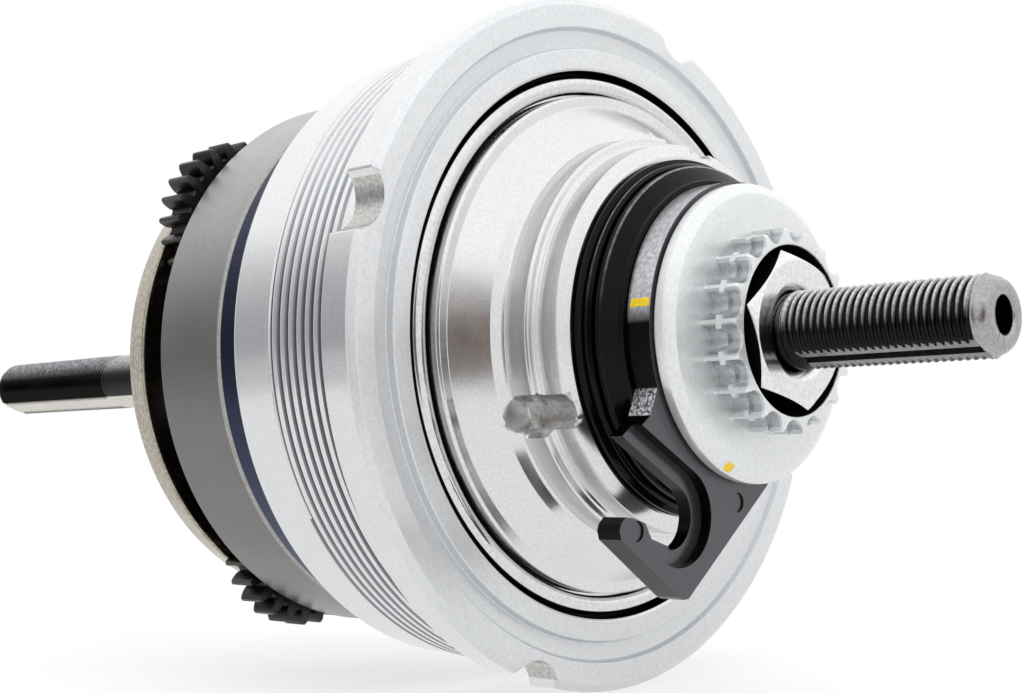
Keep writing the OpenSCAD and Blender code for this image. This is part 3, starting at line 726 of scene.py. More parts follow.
@dataclass
class Axle:
    """Threaded axle with two flats at each end, a keyway and a centre hole."""

    crest: float = 4.75
    depth: float = 0.52
    pitch: float = 0.977
    drive_thread: Point = (34.5, 59.0)
    plain_thread: Point = (-144.1, -108.5)
    flat: float = 4.0
    flat_turn: float = 248.0
    flats: tuple[Point, ...] = ((35.7, 61.0), (-147.0, -100.4))
    keyway: Point = (35.9, 58.7)
    key_half: float = 0.75
    key_floor: float = 3.3
    hole: float = 2.05
    hole_depth: float = 24.0
    hole_rim: float = 0.35
    nose_start: float = 58.95
    plain_side: float = -66.3

    def threads(self, along: float, degrees: float, ends: Point) -> float:
        """Radius of the thread at a place.

        Args:
            along: Distance along the axle.
            degrees: Angle about it.
            ends: Where the thread starts and ends.

        Returns:
            The radius in millimetres.
        """
        turn = ((along - ends[0]) / self.pitch - degrees / 360) % 1.0
        fade = min(1.0, max(0.0, min(along - ends[0], ends[1] - along) / 0.9))
        wave = 0.5 - 0.5 * math.cos(2 * math.pi * turn)
        return self.crest - self.depth * fade * (1 - wave) ** 0.8

    def stations(self, columns: Sequence[tuple[float, int]]
                 ) -> list[tuple[list[float], float, bool]]:
        """Rows of the axle's skin from the plain end to the drive end.

        Args:
            columns: Angle and kind of each column.

        Returns:
            For each row its distances, its bare radius and whether it is threaded.
        """
        found: list[tuple[list[float], float, bool]] = []

        def ring(along: float, radius: float) -> None:
            """Adds one plain row."""
            found.append(([along] * len(columns), radius, False))

        def thread(ends: Point) -> None:
            """Adds the rows of a thread."""
            found.extend((row, self.crest, True) for row in
                         helix(*ends, self.pitch, 8, [off for off, _ in columns]))

        for along, radius in ((-145.4, self.crest - 1.6), (-145.2, self.crest - 1.1),
                              (-144.8, self.crest - 0.6), (-144.2, self.crest - 0.15)):
            ring(along, radius)
        thread(self.plain_thread)
        for along, radius in ((-108.3, self.crest - 0.1), (-100.45, self.crest - 0.1),
                              (-100.35, self.crest), (-66.15, self.crest), (-66.15, 8.5),
                              (-65.65, 9.0), (-58.45, 9.0), (-58.25, 8.8), (-58.25, 7.0),
                              (5.7, 7.0), (6.1, 6.6), (6.1, self.crest),
                              (33.0, self.crest), (34.3, self.crest - 0.4)):
            ring(along, radius)
        thread(self.drive_thread)
        for along, radius in ((59.1, 4.6), (59.5, 4.45), (60.1, 4.2), (60.5, 3.9),
                              (60.7, 3.6)):
            ring(along, radius)
        return found

    def columns(self) -> list[tuple[float, int]]:
        """Lists the columns of the axle's skin, with the keyway's walls among them.

        Returns:
            Angle from the lower flat's middle and kind of each column, 0 plain, 1 edge of
            the keyway, 2 foot of its wall, 3 floor.
        """
        edge = math.degrees(math.atan(self.key_half / self.flat))
        foot = math.degrees(math.atan(self.key_half / self.key_floor))
        plain = [a for a in angles(120) if foot + 1 < a < 360 - foot - 1]
        floor = [-foot * 0.5, 0.0, foot * 0.5]
        return ([(-edge, 1), (-foot, 2)] + [(a, 3) for a in floor]
                + [(foot, 2), (edge, 1)] + [(a, 0) for a in plain])

    def radius(self, along: float, off: float, kind: int, bare: float,
               cut: bool) -> Point:
        """Radius and angle of one point of the axle's skin.

        Args:
            along: Distance along the axle.
            off: Angle from the middle of the lower flat.
            kind: 0 plain, 1 edge of the keyway, 2 foot of its wall, 3 floor.
            bare: Radius before flats.
            cut: Whether the stretch is threaded.

        Returns:
            The radius and the angle from the flat's middle.
        """
        r = bare
        if cut:
            ends = self.drive_thread if along > 0 else self.plain_thread
            r = self.threads(along, off, ends)
        level = any(a <= along <= b for a, b in self.flats)
        slot = self.keyway[0] <= along <= self.keyway[1]
        if kind and kind < 3 and not slot:
            near = (off + 180) % 360 - 180
            off += math.copysign(11.5 if kind == 1 else 12.0, near) - near
        if level:
            side = math.cos(math.radians(off))
            if slot and kind > 1:
                r = min(r, self.key_floor / side)
            elif abs(side) > 0.2:
                r = min(r, self.flat / abs(side))
        return r, off

    def build(self) -> None:
        """Builds the axle's skin, its end faces and the centre hole."""
        columns = self.columns()
        columns.append((columns[0][0] + 360, columns[0][1]))
        rows = self.stations(columns)
        verts = []
        for distances, bare, cut in rows:
            for along, (off, kind) in zip(distances, columns):
                r, a = self.radius(along, off, kind, bare, cut)
                verts.append(on_axle(r, along, a + self.flat_turn))
        end = rows[-1][0][0]
        for r, along in ((self.hole + self.hole_rim, end), (self.hole, end - self.hole_rim),
                         (self.hole, end - self.hole_depth),
                         (0.05, end - self.hole_depth - 0.8)):
            verts += [on_axle(r, along, off + self.flat_turn) for off, _ in columns]
        count, wide = len(rows) + 4, len(columns)
        faces = grid(count, wide, False)
        faces.append(tuple(range(wide - 1)))
        faces.append(tuple(range((count - 1) * wide, count * wide - 1)))
        piece = mesh_piece("axle_with_rolled_thread", verts, faces, STEEL_THREAD, 50.0)

        def on_flat(r: float, a: float) -> bool:
            """Whether a place lies on one of the two flats."""
            across = r * abs(math.cos(math.radians(a - self.flat_turn)))
            return abs(across - self.flat) < 0.02

        drive_flats, plain_flats = self.flats
        marked(piece, STEEL_THREAD_DARK, lambda r, u, a: u < self.plain_side)
        marked(piece, STEEL_FLAT, lambda r, u, a: u < plain_flats[1] and on_flat(r, a))
        # Painted reflection on the flats beside the keyway
        marked(piece, STEEL_FLAT_REFLECTED,
               lambda r, u, a: drive_flats[0] < u < self.drive_thread[1]
               and r > self.flat - 0.02 and on_flat(r, a))
        marked(piece, STEEL_KEYWAY,
               lambda r, u, a: self.keyway[0] < u < self.keyway[1] + 0.1
               and self.key_floor - 0.1 < r < self.flat - 0.03
               and abs(off_centre(a, (self.flat_turn,))) < 14)
        marked(piece, STEEL_NOSE, lambda r, u, a: u > self.nose_start and r > 2.1)
        seat(piece, "axle_group", ["hub_axle"])


@dataclass
class FixingParts:
    """Toothed fixing ring, locknut and cable arm on the drive side."""

    flutes: int = 18
    flute_turn: float = 8.2
    boss: float = 12.3
    top: float = 33.6
    base: float = 28.9
    nut_width: float = 17.0
    nut_turn: float = 46.0
    arm_radius: float = 18.6
    slot_centre: Point = (-13.1, -22.0)
    slot_turn: float = 151.3
    slot_half: float = 3.9
    recess_half: float = 5.9
    dimple: float = 1.2

    def ring(self) -> None:
        """Builds the fixing ring with its fluted boss, waisted in the middle."""
        centres = [self.flute_turn + i * 360 / self.flutes for i in range(self.flutes)]
        around = angles(180, [(c, 9.0, 22) for c in centres])
        boss, base, top = self.boss, self.base, self.top
        profile = softened([
            (10.25, 26.5), (17.9, 26.5), (18.2, 26.8), (18.2, 28.0), (16.9, base),
            (boss, base), (boss, 31.0), (boss, 31.02), (boss, 31.8), (boss, 31.82),
            (boss, 33.3), (12.0, top), (10.25, top)], 0.25)
        profile = refined(profile, lambda r, u: 1.6)

        def flute(r: float, u: float, a: float) -> float:
            """Cuts the flutes, narrower in the middle row.

            Args:
                r: Radius.
                u: Distance along the axle.
                a: Angle.

            Returns:
                The radius left.
            """
            if u < base + 0.05 or r < 10.5:
                return r
            narrow = 31.01 < u < 31.81
            return max(10.6, scooped(r, boss + 0.15, 1.35 if narrow else 1.85,
                                     off_centre(a, centres)))

        piece = turned("toothed_fixing_ring", profile, ZINC_WASHER, around, flute)
        # Painted shade in the fixing ring's bore
        marked(piece, BORE_PAINTED_SHADE, lambda r, u, a: r < 10.27 and u < 33.4)
        # Painted shade down inside the flutes
        marked(piece, ZINC_FLUTE_SHADE,
               lambda r, u, a: 10.55 < r < 12.0 and 29.0 < u < 33.2)
        seat(piece, "fixing_ring_group", ["fixing_ring"])

    def nut(self) -> None:
        """Builds the hexagon locknut with turned chamfers."""
        corner = self.nut_width / math.sqrt(3)
        hexagon = arc((0, 0), corner, self.nut_turn, self.nut_turn + 300, 5)
        piece = prism("axle_locknut_hexagon", hexagon, 28.0, 34.3, NICKEL_NUT)
        profile = [(6.0, 34.3), (8.35, 34.3), (9.9, 33.4), (9.9, 28.0), (4.8, 28.0),
                   (4.8, 33.3), (5.0, 33.6)]
        tool = turned("nut_turning", profile, NICKEL_NUT, angles(120))
        carve(piece, tool, "INTERSECT")
        rounded_edges(piece, 0.12, 25)
        seat(piece, "axle_group", ["axle_locknut"])

    def arm(self) -> None:
        """Builds the cable arm with its hooked slot, recess and dimples."""
        centre, lean = Vector(self.slot_centre), math.radians(self.slot_turn)
        ahead = Vector((math.cos(lean), math.sin(lean)))
        aside = Vector((-ahead.y, ahead.x))
        bow = (self.slot_turn - 90, self.slot_turn - 270, 32)
        outline = arc((0, 0), self.arm_radius, -77.1, 202.8, 75)
        outline += [(-18.4, -10.4), (-21.6, -12.8),
                    tuple(centre + ahead * 9.2 - aside * self.slot_half)]
        outline += arc(centre, self.slot_half, *bow)
        outline += [(-18.3, -24.4), (-19.4, -22.6), (-21.6, -22.0), (-22.8, -21.9),
                    (-23.6, -22.6), (-23.9, -23.4), (-23.6, -24.4), (-13.6, -31.1),
                    (-12.6, -31.55), (-11.6, -31.5), (4.2, -18.3)]
        piece = prism("cable_arm_stamped", outline, 23.1, 26.4, STEEL_BLACK_PLATED)
        bore = turned("arm_bore", [(0.01, 20), (10.25, 20), (10.25, 30), (0.01, 30)],
                      STEEL_BLACK_PLATED, angles(96))
        carve(piece, bore)
        dip = [tuple(centre + ahead * 15 - aside * self.recess_half),
               *arc(centre, self.recess_half, *bow),
               tuple(centre + aside * self.recess_half),
               tuple(centre + aside * 2.0 + ahead * 0.5),
               tuple(centre + ahead * 15 + aside * 2.0)]
        carve(piece, prism("arm_recess", dip, 24.9, 28.0, STEEL_BLACK_PLATED))
        for place in ((-20.9, -23.5), (-2.0, -20.4)):
            ring = arc(place, self.dimple, 0, 350, 35)
            carve(piece, prism("arm_dimple", ring, 26.15, 28.0, STEEL_BLACK_PLATED))
        rounded_edges(piece, 0.22)
        # Partly wear, partly painted glints on the hook's sheared facet
        marked(piece, STEEL_SHEARED,
               lambda r, u, a: 202.9 < a < 209.8 and r < 21.3 and 23.4 < u < 26.2)
        seat(piece, "axle_group", ["cable_arm"])

    def paint(self) -> None:
        """Adds the two yellow alignment marks."""
        for name, body, node, r, u0, u1, a, half in (
                ("alignment_mark_arm", "axle_group", "cable_arm",
                 18.64, 23.5, 26.3, 172.0, 1.5),
                ("alignment_mark_ring", "fixing_ring_group", "fixing_ring",
                 18.0, 27.5, 28.85, 248.0, 2.2)):
            verts = []
            for i in range(9):
                for j in range(5):
                    u = u0 + (u1 - u0) * i / 8
                    wob = 0.08 * math.sin(1.3 * i + 1.7 * j)
                    turn = a + half * (j / 2 - 1) * (1 + 0.08 * math.sin(i * 1.3)) + wob
                    rr = r + (0.05 if 0 < j < 4 and 0 < i < 8 else -0.02)
                    if node == "fixing_ring":
                        rr = min(rr, 18.23 - max(0.0, u - 28.0) * 1.45)
                    verts.append(on_axle(rr, u, turn))
            seat(mesh_piece(name, verts, grid(9, 5, False), PAINT_YELLOW), body)

    def build(self) -> None:
        """Builds the ring, the nut, the arm and the marks."""
        self.ring()
        self.nut()
        self.arm()
        self.paint()


@dataclass
class PulleyStack:
    """Black driver cap and cable pulley."""

    columns: int = 240

    def build(self) -> None:
        """Builds the two glossy mouldings."""
        around = angles(self.columns)
        cap = softened([
            (10.7, 18.7), (17.8, 18.7), (17.8, 15.6), (18.9, 15.6), (18.9, 18.1),
            (21.6, 18.1), (22.3, 18.3), (22.3, 18.75), (21.3, 19.0), (21.7, 19.3),
            (21.72, 19.6), (21.4, 19.95), (10.7, 19.95)], 0.1)
        piece = turned("driver_cap_moulded", cap, ACETAL_BLACK, around)
        # Painted highlight on the cap's ridge
        marked(piece, ACETAL_RIDGE_HIGHLIGHT, lambda r, u, a: r > 21.6 and 19.3 < u < 19.6)
        seat(piece, "driver_group", ["driver_cap"])
        pulley = softened([
            (10.25, 20.25), (21.0, 20.25), (21.2, 20.45), (21.2, 20.95), (21.0, 21.2),
            (20.6, 21.5), (19.75, 22.05), (19.25, 22.35), (19.2, 22.95), (17.2, 22.95),
            (17.2, 20.9), (11.6, 20.9), (11.6, 22.75), (10.25, 22.75)], 0.12)
        piece = turned("cable_pulley_moulded", pulley, ACETAL_BLACK, around)
        # Painted highlight on the pulley's rim
        marked(piece, ACETAL_RIDGE_HIGHLIGHT, lambda r, u, a: r > 20.95 and 20.98 < u < 21.2)
        seat(piece, "pulley_group", ["cable_pulley"])


@dataclass
class DriverParts:
    """Driver with its sprocket grooves, and the polished dust cap."""

    grooves: tuple[float, ...] = (83.8, 203.8, 323.8)
    groove_centre: float = 26.0
    groove_start: float = 9.5
    groove_tool: float = 2.7
    dome: Point = (33.85, 3.72)
    dome_radius: float = 1.22

    def driver(self) -> None:
        """Builds the driver with three half round grooves."""
        around = angles(288, [(c, 8.0, 40) for c in self.grooves])
        profile = softened([
            (11.6, -28.15), (15.5, -28.15), (15.5, -6.0), (17.0, -4.0), (17.0, 3.5),
            (26.5, 3.5), (27.5, 2.5), (27.5, -5.5), (30.1, -5.5), (30.1, 2.8),
            (32.3, 3.1), (32.3, 4.35), (32.3, 5.6), (32.0, 5.9), (30.8, 5.9), (27.3, 9.55),
            (26.1, 10.15), (25.8, 10.4), (25.8, 13.7), (25.5, 13.95), (24.9, 14.0),
            (24.8, 14.25), (24.4, 14.35), (24.4, 17.3), (22.7, 17.95), (19.0, 17.95),
            (19.0, 15.3), (14.9, 15.3), (14.9, 6.9), (11.6, 5.9)], 0.18)
        rows = refined(profile,
                       lambda r, u: 0.16 if r > 25.5 and 9.3 < u < 12.0 else 1.3)

        def groove(r: float, u: float, a: float) -> float:
            """Cuts the half round grooves from their rounded start to the end.

            Args:
                r: Radius.
                u: Distance along the axle.
                a: Angle.

            Returns:
                The radius left.
            """
            off = off_centre(a, self.grooves)
            side = self.groove_centre * math.sin(math.radians(off)) / self.groove_tool
            if r < 20 or abs(side) >= 1 or abs(off) > 30:
                return r
            start = self.groove_start + 1.8 * (1 - math.sqrt(1 - side * side))
            share = min(1.0, max(0.0, (u - start) / 0.5))
            deep = scooped(r, self.groove_centre, self.groove_tool, off)
            return r + (deep - r) * share

        piece = turned("driver_turned", rows, ZINC_TURNED, around, groove, 34.0)
        marked(piece, ZINC_MILLED,
               lambda r, u, a: 10.3 < u < 17.6 and 20 < r < 25.4
               and abs(off_centre(a, self.grooves)) < 5.2)
        # Painted shade on the driver's wall in the gap beside the dust cap
        marked(piece, BORE_PAINTED_SHADE,
               lambda r, u, a: 32.2 < r < 32.35 and 2.0 < u < 4.4)
        seat(piece, "driver_group", ["driver"])

    def dust_cap(self) -> None:
        """Builds the polished dust cap."""
        dome = arc(self.dome, self.dome_radius, 0, 180, 18)
        profile = [(32.35, 3.2), (35.07, 3.2)] + dome + [(32.63, 3.4), (32.35, 3.4)]
        seat(turned("dust_cap_polished", profile, STEEL_POLISHED, angles(288)),
             "driver_group", ["dust_cap"])

    def build(self) -> None:
        """Builds both pieces."""
        self.driver()
        self.dust_cap()


@dataclass
class BallRing:
    """Flanged ring with the shell thread and four spanner notches."""

    crest: float = 42.0
    depth: float = 0.8
    pitch: float = 1.55
    thread: Point = (-13.8, -1.6)
    notches: tuple[float, ...] = (71.6, 161.6, 251.6, 341.6)
    notch_centre: float = 46.5
    notch_tool: float = 4.3

    def build(self) -> None:
        """Builds the ring with a true helical thread."""
        around = angles(300, [(c, 6.2, 40) for c in self.notches])
        around.append(around[0] + 360)
        start, end = self.thread
        rows = [([u] * len(around), r) for r, u in softened([
            (42.0, end), (42.0, 0.0), (44.92, 0.0), (44.92, 4.4), (44.0, 5.08),
            (41.2, 5.08), (40.8, 4.3), (38.6, 4.0), (38.4, 5.08), (35.9, 5.08),
            (35.6, 4.8), (35.6, 2.6), (31.9, 2.6), (31.9, -6.1), (38.2, -7.7),
            (38.2, -20.85), (41.45, -20.85), (41.6, -20.45), (41.6, -14.2),
            (41.9, -14.0), (42.0, -13.9)], 0.2)]
        rows = ([(row, self.crest) for row in helix(start, end, self.pitch, 8, around)]
                + rows + [([start] * len(around), 42.0)])

        def shape(r: float, u: float, a: float) -> float:
            """Cuts the thread and the notches.

            Args:
                r: Radius.
                u: Distance along the axle.
                a: Angle.

            Returns:
                The radius left.
            """
            if r == self.crest and start < u < end:
                turn = (u - start) / self.pitch - (a - around[0]) / 360
                fade = min(1.0, (u - start) / 0.8, (end - u) / 0.8)
                away = abs((turn + 0.5) % 1.0 - 0.5)
                return r - self.depth * fade * max(0.0, 1 - away / 0.26)
            if u >= -0.01 and r > 38.7:
                return scooped(r, self.notch_centre, self.notch_tool,
                               off_centre(a, self.notches))
            return r

        verts = [on_axle(shape(r, u, a), u, a)
                 for row, r in rows for u, a in zip(row, around)]
        piece = mesh_piece("ball_ring_threaded", verts, grid(len(rows), len(around), False),
                           ZINC_TURNED, 36.0)
        marked(piece, ZINC_SATIN, lambda r, u, a: r > 35.9 and u > 3.95)
        # Painted shade in the gap beside the dust cap
        marked(piece, GAP_PAINTED_SHADE, lambda r, u, a: r < 35.63 and 2.5 < u < 4.85)
        marked(piece, ZINC_MILLED,
               lambda r, u, a: 0.1 < u < 4.95 and 42.12 < r < 44.0
               and abs(off_centre(a, self.notches)) < 5.0)
        # Painted shade in the roots of the shell thread
        marked(piece, ZINC_ROOT_SHADE,
               lambda r, u, a: start < u < end and 41.1 < r < 41.8)
        seat(piece, "ball_ring_group", ["ball_ring"])


# Backlash along the pitch circle, taken off the teeth and added to the ring's gaps
PLAY = 0.12


@dataclass
class ClutchRings:
    """Blued cam ring and the grey toothed gear ring."""

    teeth: int = 78
    module: float = 0.9

    def cam_ring(self) -> None:
        """Builds the blued ring."""
        profile = softened([
            (33.4, -31.4), (36.0, -31.4), (36.0, -28.6), (37.8, -28.6), (38.0, -28.4),
            (38.0, -21.15), (37.8, -20.95), (34.3, -20.95), (34.3, -10.2),
            (30.3, -10.2), (30.3, -28.2), (33.4, -28.6)], 0.2)
        seat(turned("cam_ring_blued", profile, STEEL_BLUED, angles(288)),
             "gear_ring_group", ["clutch_cam_ring"])

    def gear_ring(self) -> None:
        """Builds the gear ring, round outside and toothed inside."""
        pitch = self.module * self.teeth / 2
        gaps = gear_outline(self.teeth, self.module, -PLAY, 0.0)
        inner = [(max(r, pitch - 0.8 * self.module), a) for r, a in gaps]
        stations = [
            ("out", 37.6, -41.85), ("out", 37.85, -41.78), ("out", 38.0, -41.5),
            ("out", 38.0, -29.3), ("out", 37.9, -29.0), ("out", 37.5, -28.6),
            ("out", 36.0, -28.6), ("out", 36.0, -33.15), ("in", 0.0, -33.15),
            ("in", 0.0, -41.6), ("in", 0.25, -41.85)]
        verts = [on_axle(r if kind == "out" else radius + r, u, a)
                 for kind, r, u in stations for radius, a in inner]
        piece = mesh_piece("gear_ring_hardened", verts, grid(len(stations), len(inner)),
                           STEEL_HARDENED, 36.0)
        # Painted highlight: the front chamfer as one pale line
        marked(piece, STEEL_CHAMFER, lambda r, u, a: r > 37.4 and -29.32 < u < -28.55)
        seat(piece, "gear_ring_group", ["gear_ring"])

    def build(self) -> None:
        """Builds both rings."""
        self.cam_ring()
        self.gear_ring()


@dataclass
class PlanetCarrier:
    """Three stepped planet gears and the pressed cover."""

    centre: float = 28.35
    # Steps of 360 / 126 degrees let equal planets mesh with sun and ring
    directions: tuple[float, ...] = (140.0, 140.0 + 38 * 360 / 126, 140.0 + 82 * 360 / 126)
    module: float = 0.9
    teeth: int = 25
    small: int = 15
    sun: int = 38
    ring: int = 78
    bore: float = 2.5
    bevel: float = 0.25

    def wheel(self, points: Sequence[Point], back: float, front: float,
              at: float) -> tuple[list[Place], list[tuple[int, ...]]]:
        """Makes one toothed wheel with bevelled tooth ends.

        Args:
            points: Outline as radius and angle.
            back: Where it starts along the axle.
            front: Where it ends.
            at: Angle of the planet's centre about the axle.

        Returns:
            The wheel's points in metres and its faces.
        """
        cx = self.centre * math.cos(math.radians(at))
        cz = self.centre * math.sin(math.radians(at))
        bevel = self.bevel
        stations = [(None, back), (-bevel, back), (0.0, back + bevel),
                    (0.0, front - bevel), (-bevel, front), (None, front)]
        verts = []
        for grow, u in stations:
            for r, a in points:
                rr = self.bore if grow is None else r + grow
                t = math.radians(a)
                verts.append(((cx + rr * math.cos(t)) * MM, -u * MM,
                              (cz + rr * math.sin(t)) * MM))
        return verts, grid(len(stations), len(points))

    def planet(self, index: int) -> None:
        """Builds one stepped planet gear.

        Args:
            index: Number of the planet from 0.
        """
        at = self.directions[index]
        big = gear_outline(self.teeth, self.module, PLAY,
                           at + 180 + (at * self.sun - 180) / self.teeth)
        small = gear_outline(self.small, self.module, PLAY,
                             at - at * self.ring / self.small)
        neck = [(7.8, k * 3.0) for k in range(120)]
        verts: list[Place] = []
        faces: list[tuple[int, ...]] = []
        for points, back, front in ((big, -48.7, -44.2), (neck, -44.2, -42.1),
                                    (small, -42.1, -33.2)):
            v, f = self.wheel(points, back, front, at)
            faces += [tuple(n + len(verts) for n in face) for face in f]
            verts += v
        seat(mesh_piece(f"planet_gear_hobbed_{index + 1}", verts, faces,
                        STEEL_BLACK_OXIDE, 30.0),
             f"planet_{index + 1}", [f"planet_gear_{index + 1}"])

    def cover(self) -> None:
        """Builds the pressed cover, a shallow dish with a round hub."""
        profile = softened([
            (9.0, -58.15), (12.5, -58.15), (13.0, -53.95), (34.8, -53.95),
            (35.6, -50.0), (35.75, -49.7), (35.6, -49.3), (35.2, -49.25), (9.0, -49.25)],
            0.35, 4)
        piece = turned("carrier_cover_pressed", profile, STEEL_PRESSED, angles(240))
        seat(piece, "carrier_group", ["carrier_cover"])

    def build(self) -> None:
        """Builds the planets and the cover."""
        for index in range(3):
            self.planet(index)
        self.cover()


@dataclass
class InnerPieces:
    """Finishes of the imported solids: those that stay, and those that are replaced."""

    finishes: tuple[tuple[Finish, str], ...] = (
        (STEEL_GROUND, "sun_gear_fixed sun_gear_floating planet_pins return_spring"),
        (STEEL_HARDENED, "carrier_plate drive_pawl_1 drive_pawl_2 drive_pawl_3 gear_ring"),
        (STEEL_POLISHED, "clutch_rollers main_bearing_balls driver_bearing_balls dust_cap"),
        (BRASS_PRESSED, "roller_cage main_ball_cage driver_ball_cage"),
        (BRONZE_SINTERED, "carrier_bush"),
        (ZINC_WASHER, "carrier_screws fixing_ring"),
        (ZINC_TURNED, "driver ball_ring"),
        (STEEL_BLACK_OXIDE, "drive_cone planet_gear_1 planet_gear_2 planet_gear_3"),
        (STEEL_THREAD, "hub_axle"),
        (NICKEL_NUT, "axle_locknut"),
        (STEEL_BLACK_PLATED, "cable_arm"),
        (ACETAL_BLACK, "driver_cap cable_pulley"),
        (STEEL_BLUED, "clutch_cam_ring"),
        (STEEL_PRESSED, "carrier_cover"))

    def build(self) -> None:
        """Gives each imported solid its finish."""
        for finish, names in self.finishes:
            for name in names.split():
                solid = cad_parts[name]
                if not solid.material_slots:
                    solid.data.materials.append(None)
                for slot in solid.material_slots:
                    slot.link = "OBJECT"
                    slot.material = finish.material()
            LOG.info("%s on %s", finish.name, names)


def toward(tree: bpy.types.NodeTree, vector: bpy.types.NodeSocket, direction: Place,
           inner: float, outer: float) -> bpy.types.NodeSocket:
    """Soft mask round a direction.

    Args:
        tree: The node tree.
        vector: The vector that is tested.
        direction: Middle of the mask.
        inner: Cosine within which the mask is full.
        outer: Cosine past which it is nothing.

    Returns:
        The mask's socket.
    """
    unit = add(tree, "ShaderNodeVectorMath", {0: vector}, operation="NORMALIZE")
    dot = add(tree, "ShaderNodeVectorMath",
              {0: unit.outputs[0], 1: Vector(direction).normalized()},
              operation="DOT_PRODUCT")
    soft = add(tree, "ShaderNodeMapRange",
               {0: dot.outputs["Value"], 1: outer, 2: inner},
               interpolation_type="SMOOTHSTEP", clamp=True)
    return soft.outputs[0]


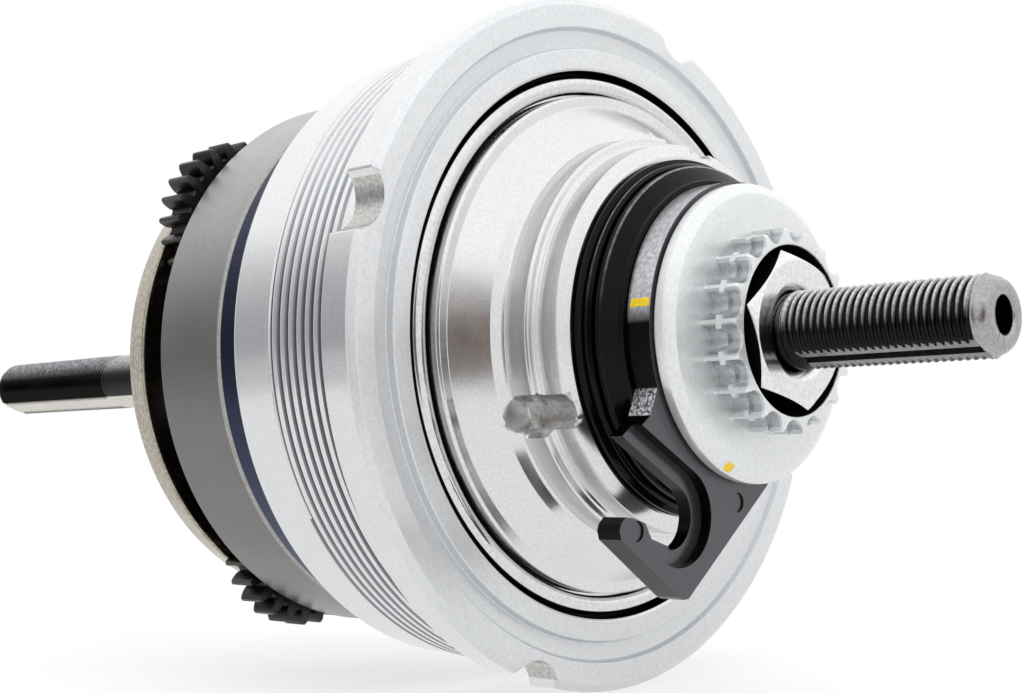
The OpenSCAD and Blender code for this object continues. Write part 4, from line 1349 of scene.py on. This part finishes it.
@dataclass
class Studio:
    """Pale floor, soft light, white backdrop and the photograph's camera.

    The bright metal mirrors a grey wall on the plain side and a warm dark stand near the
    camera. Both are drawn for reflections only, in the room and on the floor.
    """

    lens_mm: float = 58.77
    shift: Point = (-0.01953, 0.05225)
    eye_mm: Place = (-165.38, -146.75, -18.33)
    right: Place = (0.68677, -0.72687, 0.0)
    up: Place = (-0.03701, -0.03497, 0.99870)
    ahead: Place = (0.72593, 0.68588, 0.05092)
    floor_mm: float = -45.4
    stand: str = "#776B64"
    wall: str = "#B4B4B7"
    wall_on_floor: str = "#D2D2D4"

    def floor(self) -> None:
        """Lays a pale floor that stays white to the camera but keeps a shadow."""
        half, z = 3.0, self.floor_mm * MM
        data = bpy.data.meshes.new("studio_floor")
        data.from_pydata([(-half, -half, z), (half, -half, z), (half, half, z),
                          (-half, half, z)], [], [(0, 1, 2, 3)])
        paper = bpy.data.materials.new("white_paper_matt")
        paper.use_nodes = True
        tree = paper.node_tree
        tree.nodes.clear()
        matt = add(tree, "ShaderNodeBsdfDiffuse", {"Color": linear("#F4F4F4")})
        path = add(tree, "ShaderNodeLightPath")
        place = add(tree, "ShaderNodeTexCoord")
        far = add(tree, "ShaderNodeVectorMath", {0: place.outputs["Object"]},
                  operation="LENGTH")
        shade: bpy.types.NodeSocket | tuple = WHITE
        for direction, inner, outer, near, tone in (
                ((-0.73, -0.70, 0.0), 0.985, 0.94, 0.125, self.stand),
                ((-0.76, 0.65, 0.0), 0.97, 0.80, 0.30, self.wall_on_floor)):
            soft = toward(tree, place.outputs["Object"], direction, inner, outer)
            away = add(tree, "ShaderNodeMapRange",
                       {0: far.outputs["Value"], 1: near * 0.8, 2: near * 1.2}, clamp=True)
            both = add(tree, "ShaderNodeMath", {0: soft, 1: away.outputs[0]},
                       operation="MULTIPLY")
            shiny = add(tree, "ShaderNodeMath",
                        {0: both.outputs[0], 1: path.outputs["Is Glossy Ray"]},
                        operation="MULTIPLY")
            shade = add(tree, "ShaderNodeMix",
                        {0: shiny.outputs[0], 6: shade, 7: linear(tone)},
                        data_type="RGBA").outputs[2]
        glow = add(tree, "ShaderNodeEmission", {"Color": shade, "Strength": 1.0})
        fade = add(tree, "ShaderNodeMapRange",
                   {0: far.outputs["Value"], 1: 0.05, 2: 0.28, 3: 0.72, 4: 1.0},
                   interpolation_type="SMOOTHSTEP", clamp=True)
        camera = add(tree, "ShaderNodeMath",
                     {0: path.outputs["Is Camera Ray"], 1: fade.outputs[0]},
                     operation="MULTIPLY")
        seen = add(tree, "ShaderNodeMath",
                   {0: path.outputs["Is Glossy Ray"], 1: 0.97, 2: camera.outputs[0]},
                   operation="MULTIPLY_ADD")
        mix = add(tree, "ShaderNodeMixShader",
                  {0: seen.outputs[0], 1: matt.outputs[0], 2: glow.outputs[0]})
        add(tree, "ShaderNodeOutputMaterial", {0: mix.outputs[0]})
        data.materials.append(paper)
        floor = bpy.data.objects.new("studio_floor", data)
        bpy.context.scene.collection.objects.link(floor)

    def world(self) -> None:
        """Makes a white room with a dim wall behind the object's plain side."""
        world = bpy.data.worlds.new("studio_room")
        bpy.context.scene.world = world
        world.use_nodes = True
        tree = world.node_tree
        tree.nodes.clear()
        place = add(tree, "ShaderNodeTexCoord")
        path = add(tree, "ShaderNodeLightPath")

        def patch(direction: Place, inner: float, outer: float,
                  squash: float) -> bpy.types.NodeSocket:
            """Makes a mask that is squashed upright.

            Args:
                direction: Middle of the mask.
                inner: Cosine within which the mask is full.
                outer: Cosine past which it is nothing.
                squash: Share of the height that counts.

            Returns:
                The mask's socket.
            """
            flat = add(tree, "ShaderNodeVectorMath",
                       {0: place.outputs["Generated"], 1: (1.0, 1.0, squash)},
                       operation="MULTIPLY")
            return toward(tree, flat.outputs[0], direction, inner, outer)

        wall = patch((-0.76, 0.65, -0.02), 0.985, 0.78, 1.0)
        stand = patch((-0.73, -0.70, -0.09), 0.985, 0.94, 0.46)
        room = add(tree, "ShaderNodeMix", {0: wall, 6: WHITE, 7: linear(self.wall)},
                   data_type="RGBA")
        both = add(tree, "ShaderNodeMix", {0: stand, 6: room.outputs[2],
                                          7: linear(self.stand)}, data_type="RGBA")
        height = add(tree, "ShaderNodeSeparateXYZ", {0: place.outputs["Generated"]})
        lift = add(tree, "ShaderNodeMapRange",
                   {0: height.outputs[2], 1: 0.05, 2: 0.6, 3: 0.95, 4: 1.25}, clamp=True)
        glossy = add(tree, "ShaderNodeBackground",
                     {0: both.outputs[2], 1: lift.outputs[0]})
        white = add(tree, "ShaderNodeBackground", {0: WHITE, 1: 1.0})
        shader = add(tree, "ShaderNodeBackground", {0: WHITE, 1: 0.85})
        for ray, other in (("Is Glossy Ray", glossy), ("Is Transmission Ray", white),
                           ("Is Camera Ray", white)):
            shader = add(tree, "ShaderNodeMixShader",
                         {0: path.outputs[ray], 1: shader.outputs[0],
                          2: other.outputs[0]})
        add(tree, "ShaderNodeOutputWorld", {0: shader.outputs[0]})

    def lamp(self, name: str, place: Place, size: float, watts: float) -> None:
        """Hangs a soft square lamp that looks at the object.

        Args:
            name: The lamp's name.
            place: Where it hangs, in metres.
            size: Its side in metres.
            watts: Its power.
        """
        data = bpy.data.lights.new(name, "AREA")
        data.shape, data.size, data.energy = "SQUARE", size, watts
        lamp = bpy.data.objects.new(name, data)
        lamp.location = place
        lamp.rotation_euler = (-Vector(place)).to_track_quat("-Z", "Y").to_euler()
        lamp.visible_camera = lamp.visible_glossy = False
        bpy.context.scene.collection.objects.link(lamp)

    def camera(self) -> None:
        """Sets the camera at the photograph's viewing angle."""
        data = bpy.data.cameras.new("photograph_camera")
        data.lens, data.sensor_width, data.sensor_fit = self.lens_mm, 36.0, "HORIZONTAL"
        data.shift_x, data.shift_y = self.shift
        data.clip_start, data.clip_end = 0.01, 10.0
        camera = bpy.data.objects.new("photograph_camera", data)
        turn = Matrix((self.right, self.up, tuple(-c for c in self.ahead))).transposed()
        camera.matrix_world = (Matrix.Translation(Vector(self.eye_mm) * MM)
                               @ turn.to_4x4())
        bpy.context.scene.collection.objects.link(camera)
        bpy.context.scene.camera = camera

    def build(self) -> None:
        """Sets up the whole studio."""
        self.camera()
        self.floor()
        self.world()
        self.lamp("key_softbox", (-0.25, -0.35, 0.75), 0.7, 5.0)
        self.lamp("fill_softbox", (0.6, -0.6, 0.35), 0.6, 2.0)
        bpy.context.scene.view_settings.view_transform = "Standard"


def main() -> None:
    """Builds every sub-assembly in order."""
    logging.basicConfig(level=logging.INFO, format="%(name)s: %(message)s")
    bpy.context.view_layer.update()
    Studio().build()
    for group in (Axle(), FixingParts(), PulleyStack(), DriverParts(), BallRing(),
                  ClutchRings(), PlanetCarrier(), InnerPieces()):
        LOG.info("building %s", type(group).__name__)
        group.build()
    bpy.context.view_layer.update()


if __name__ == "__main__":
    main()
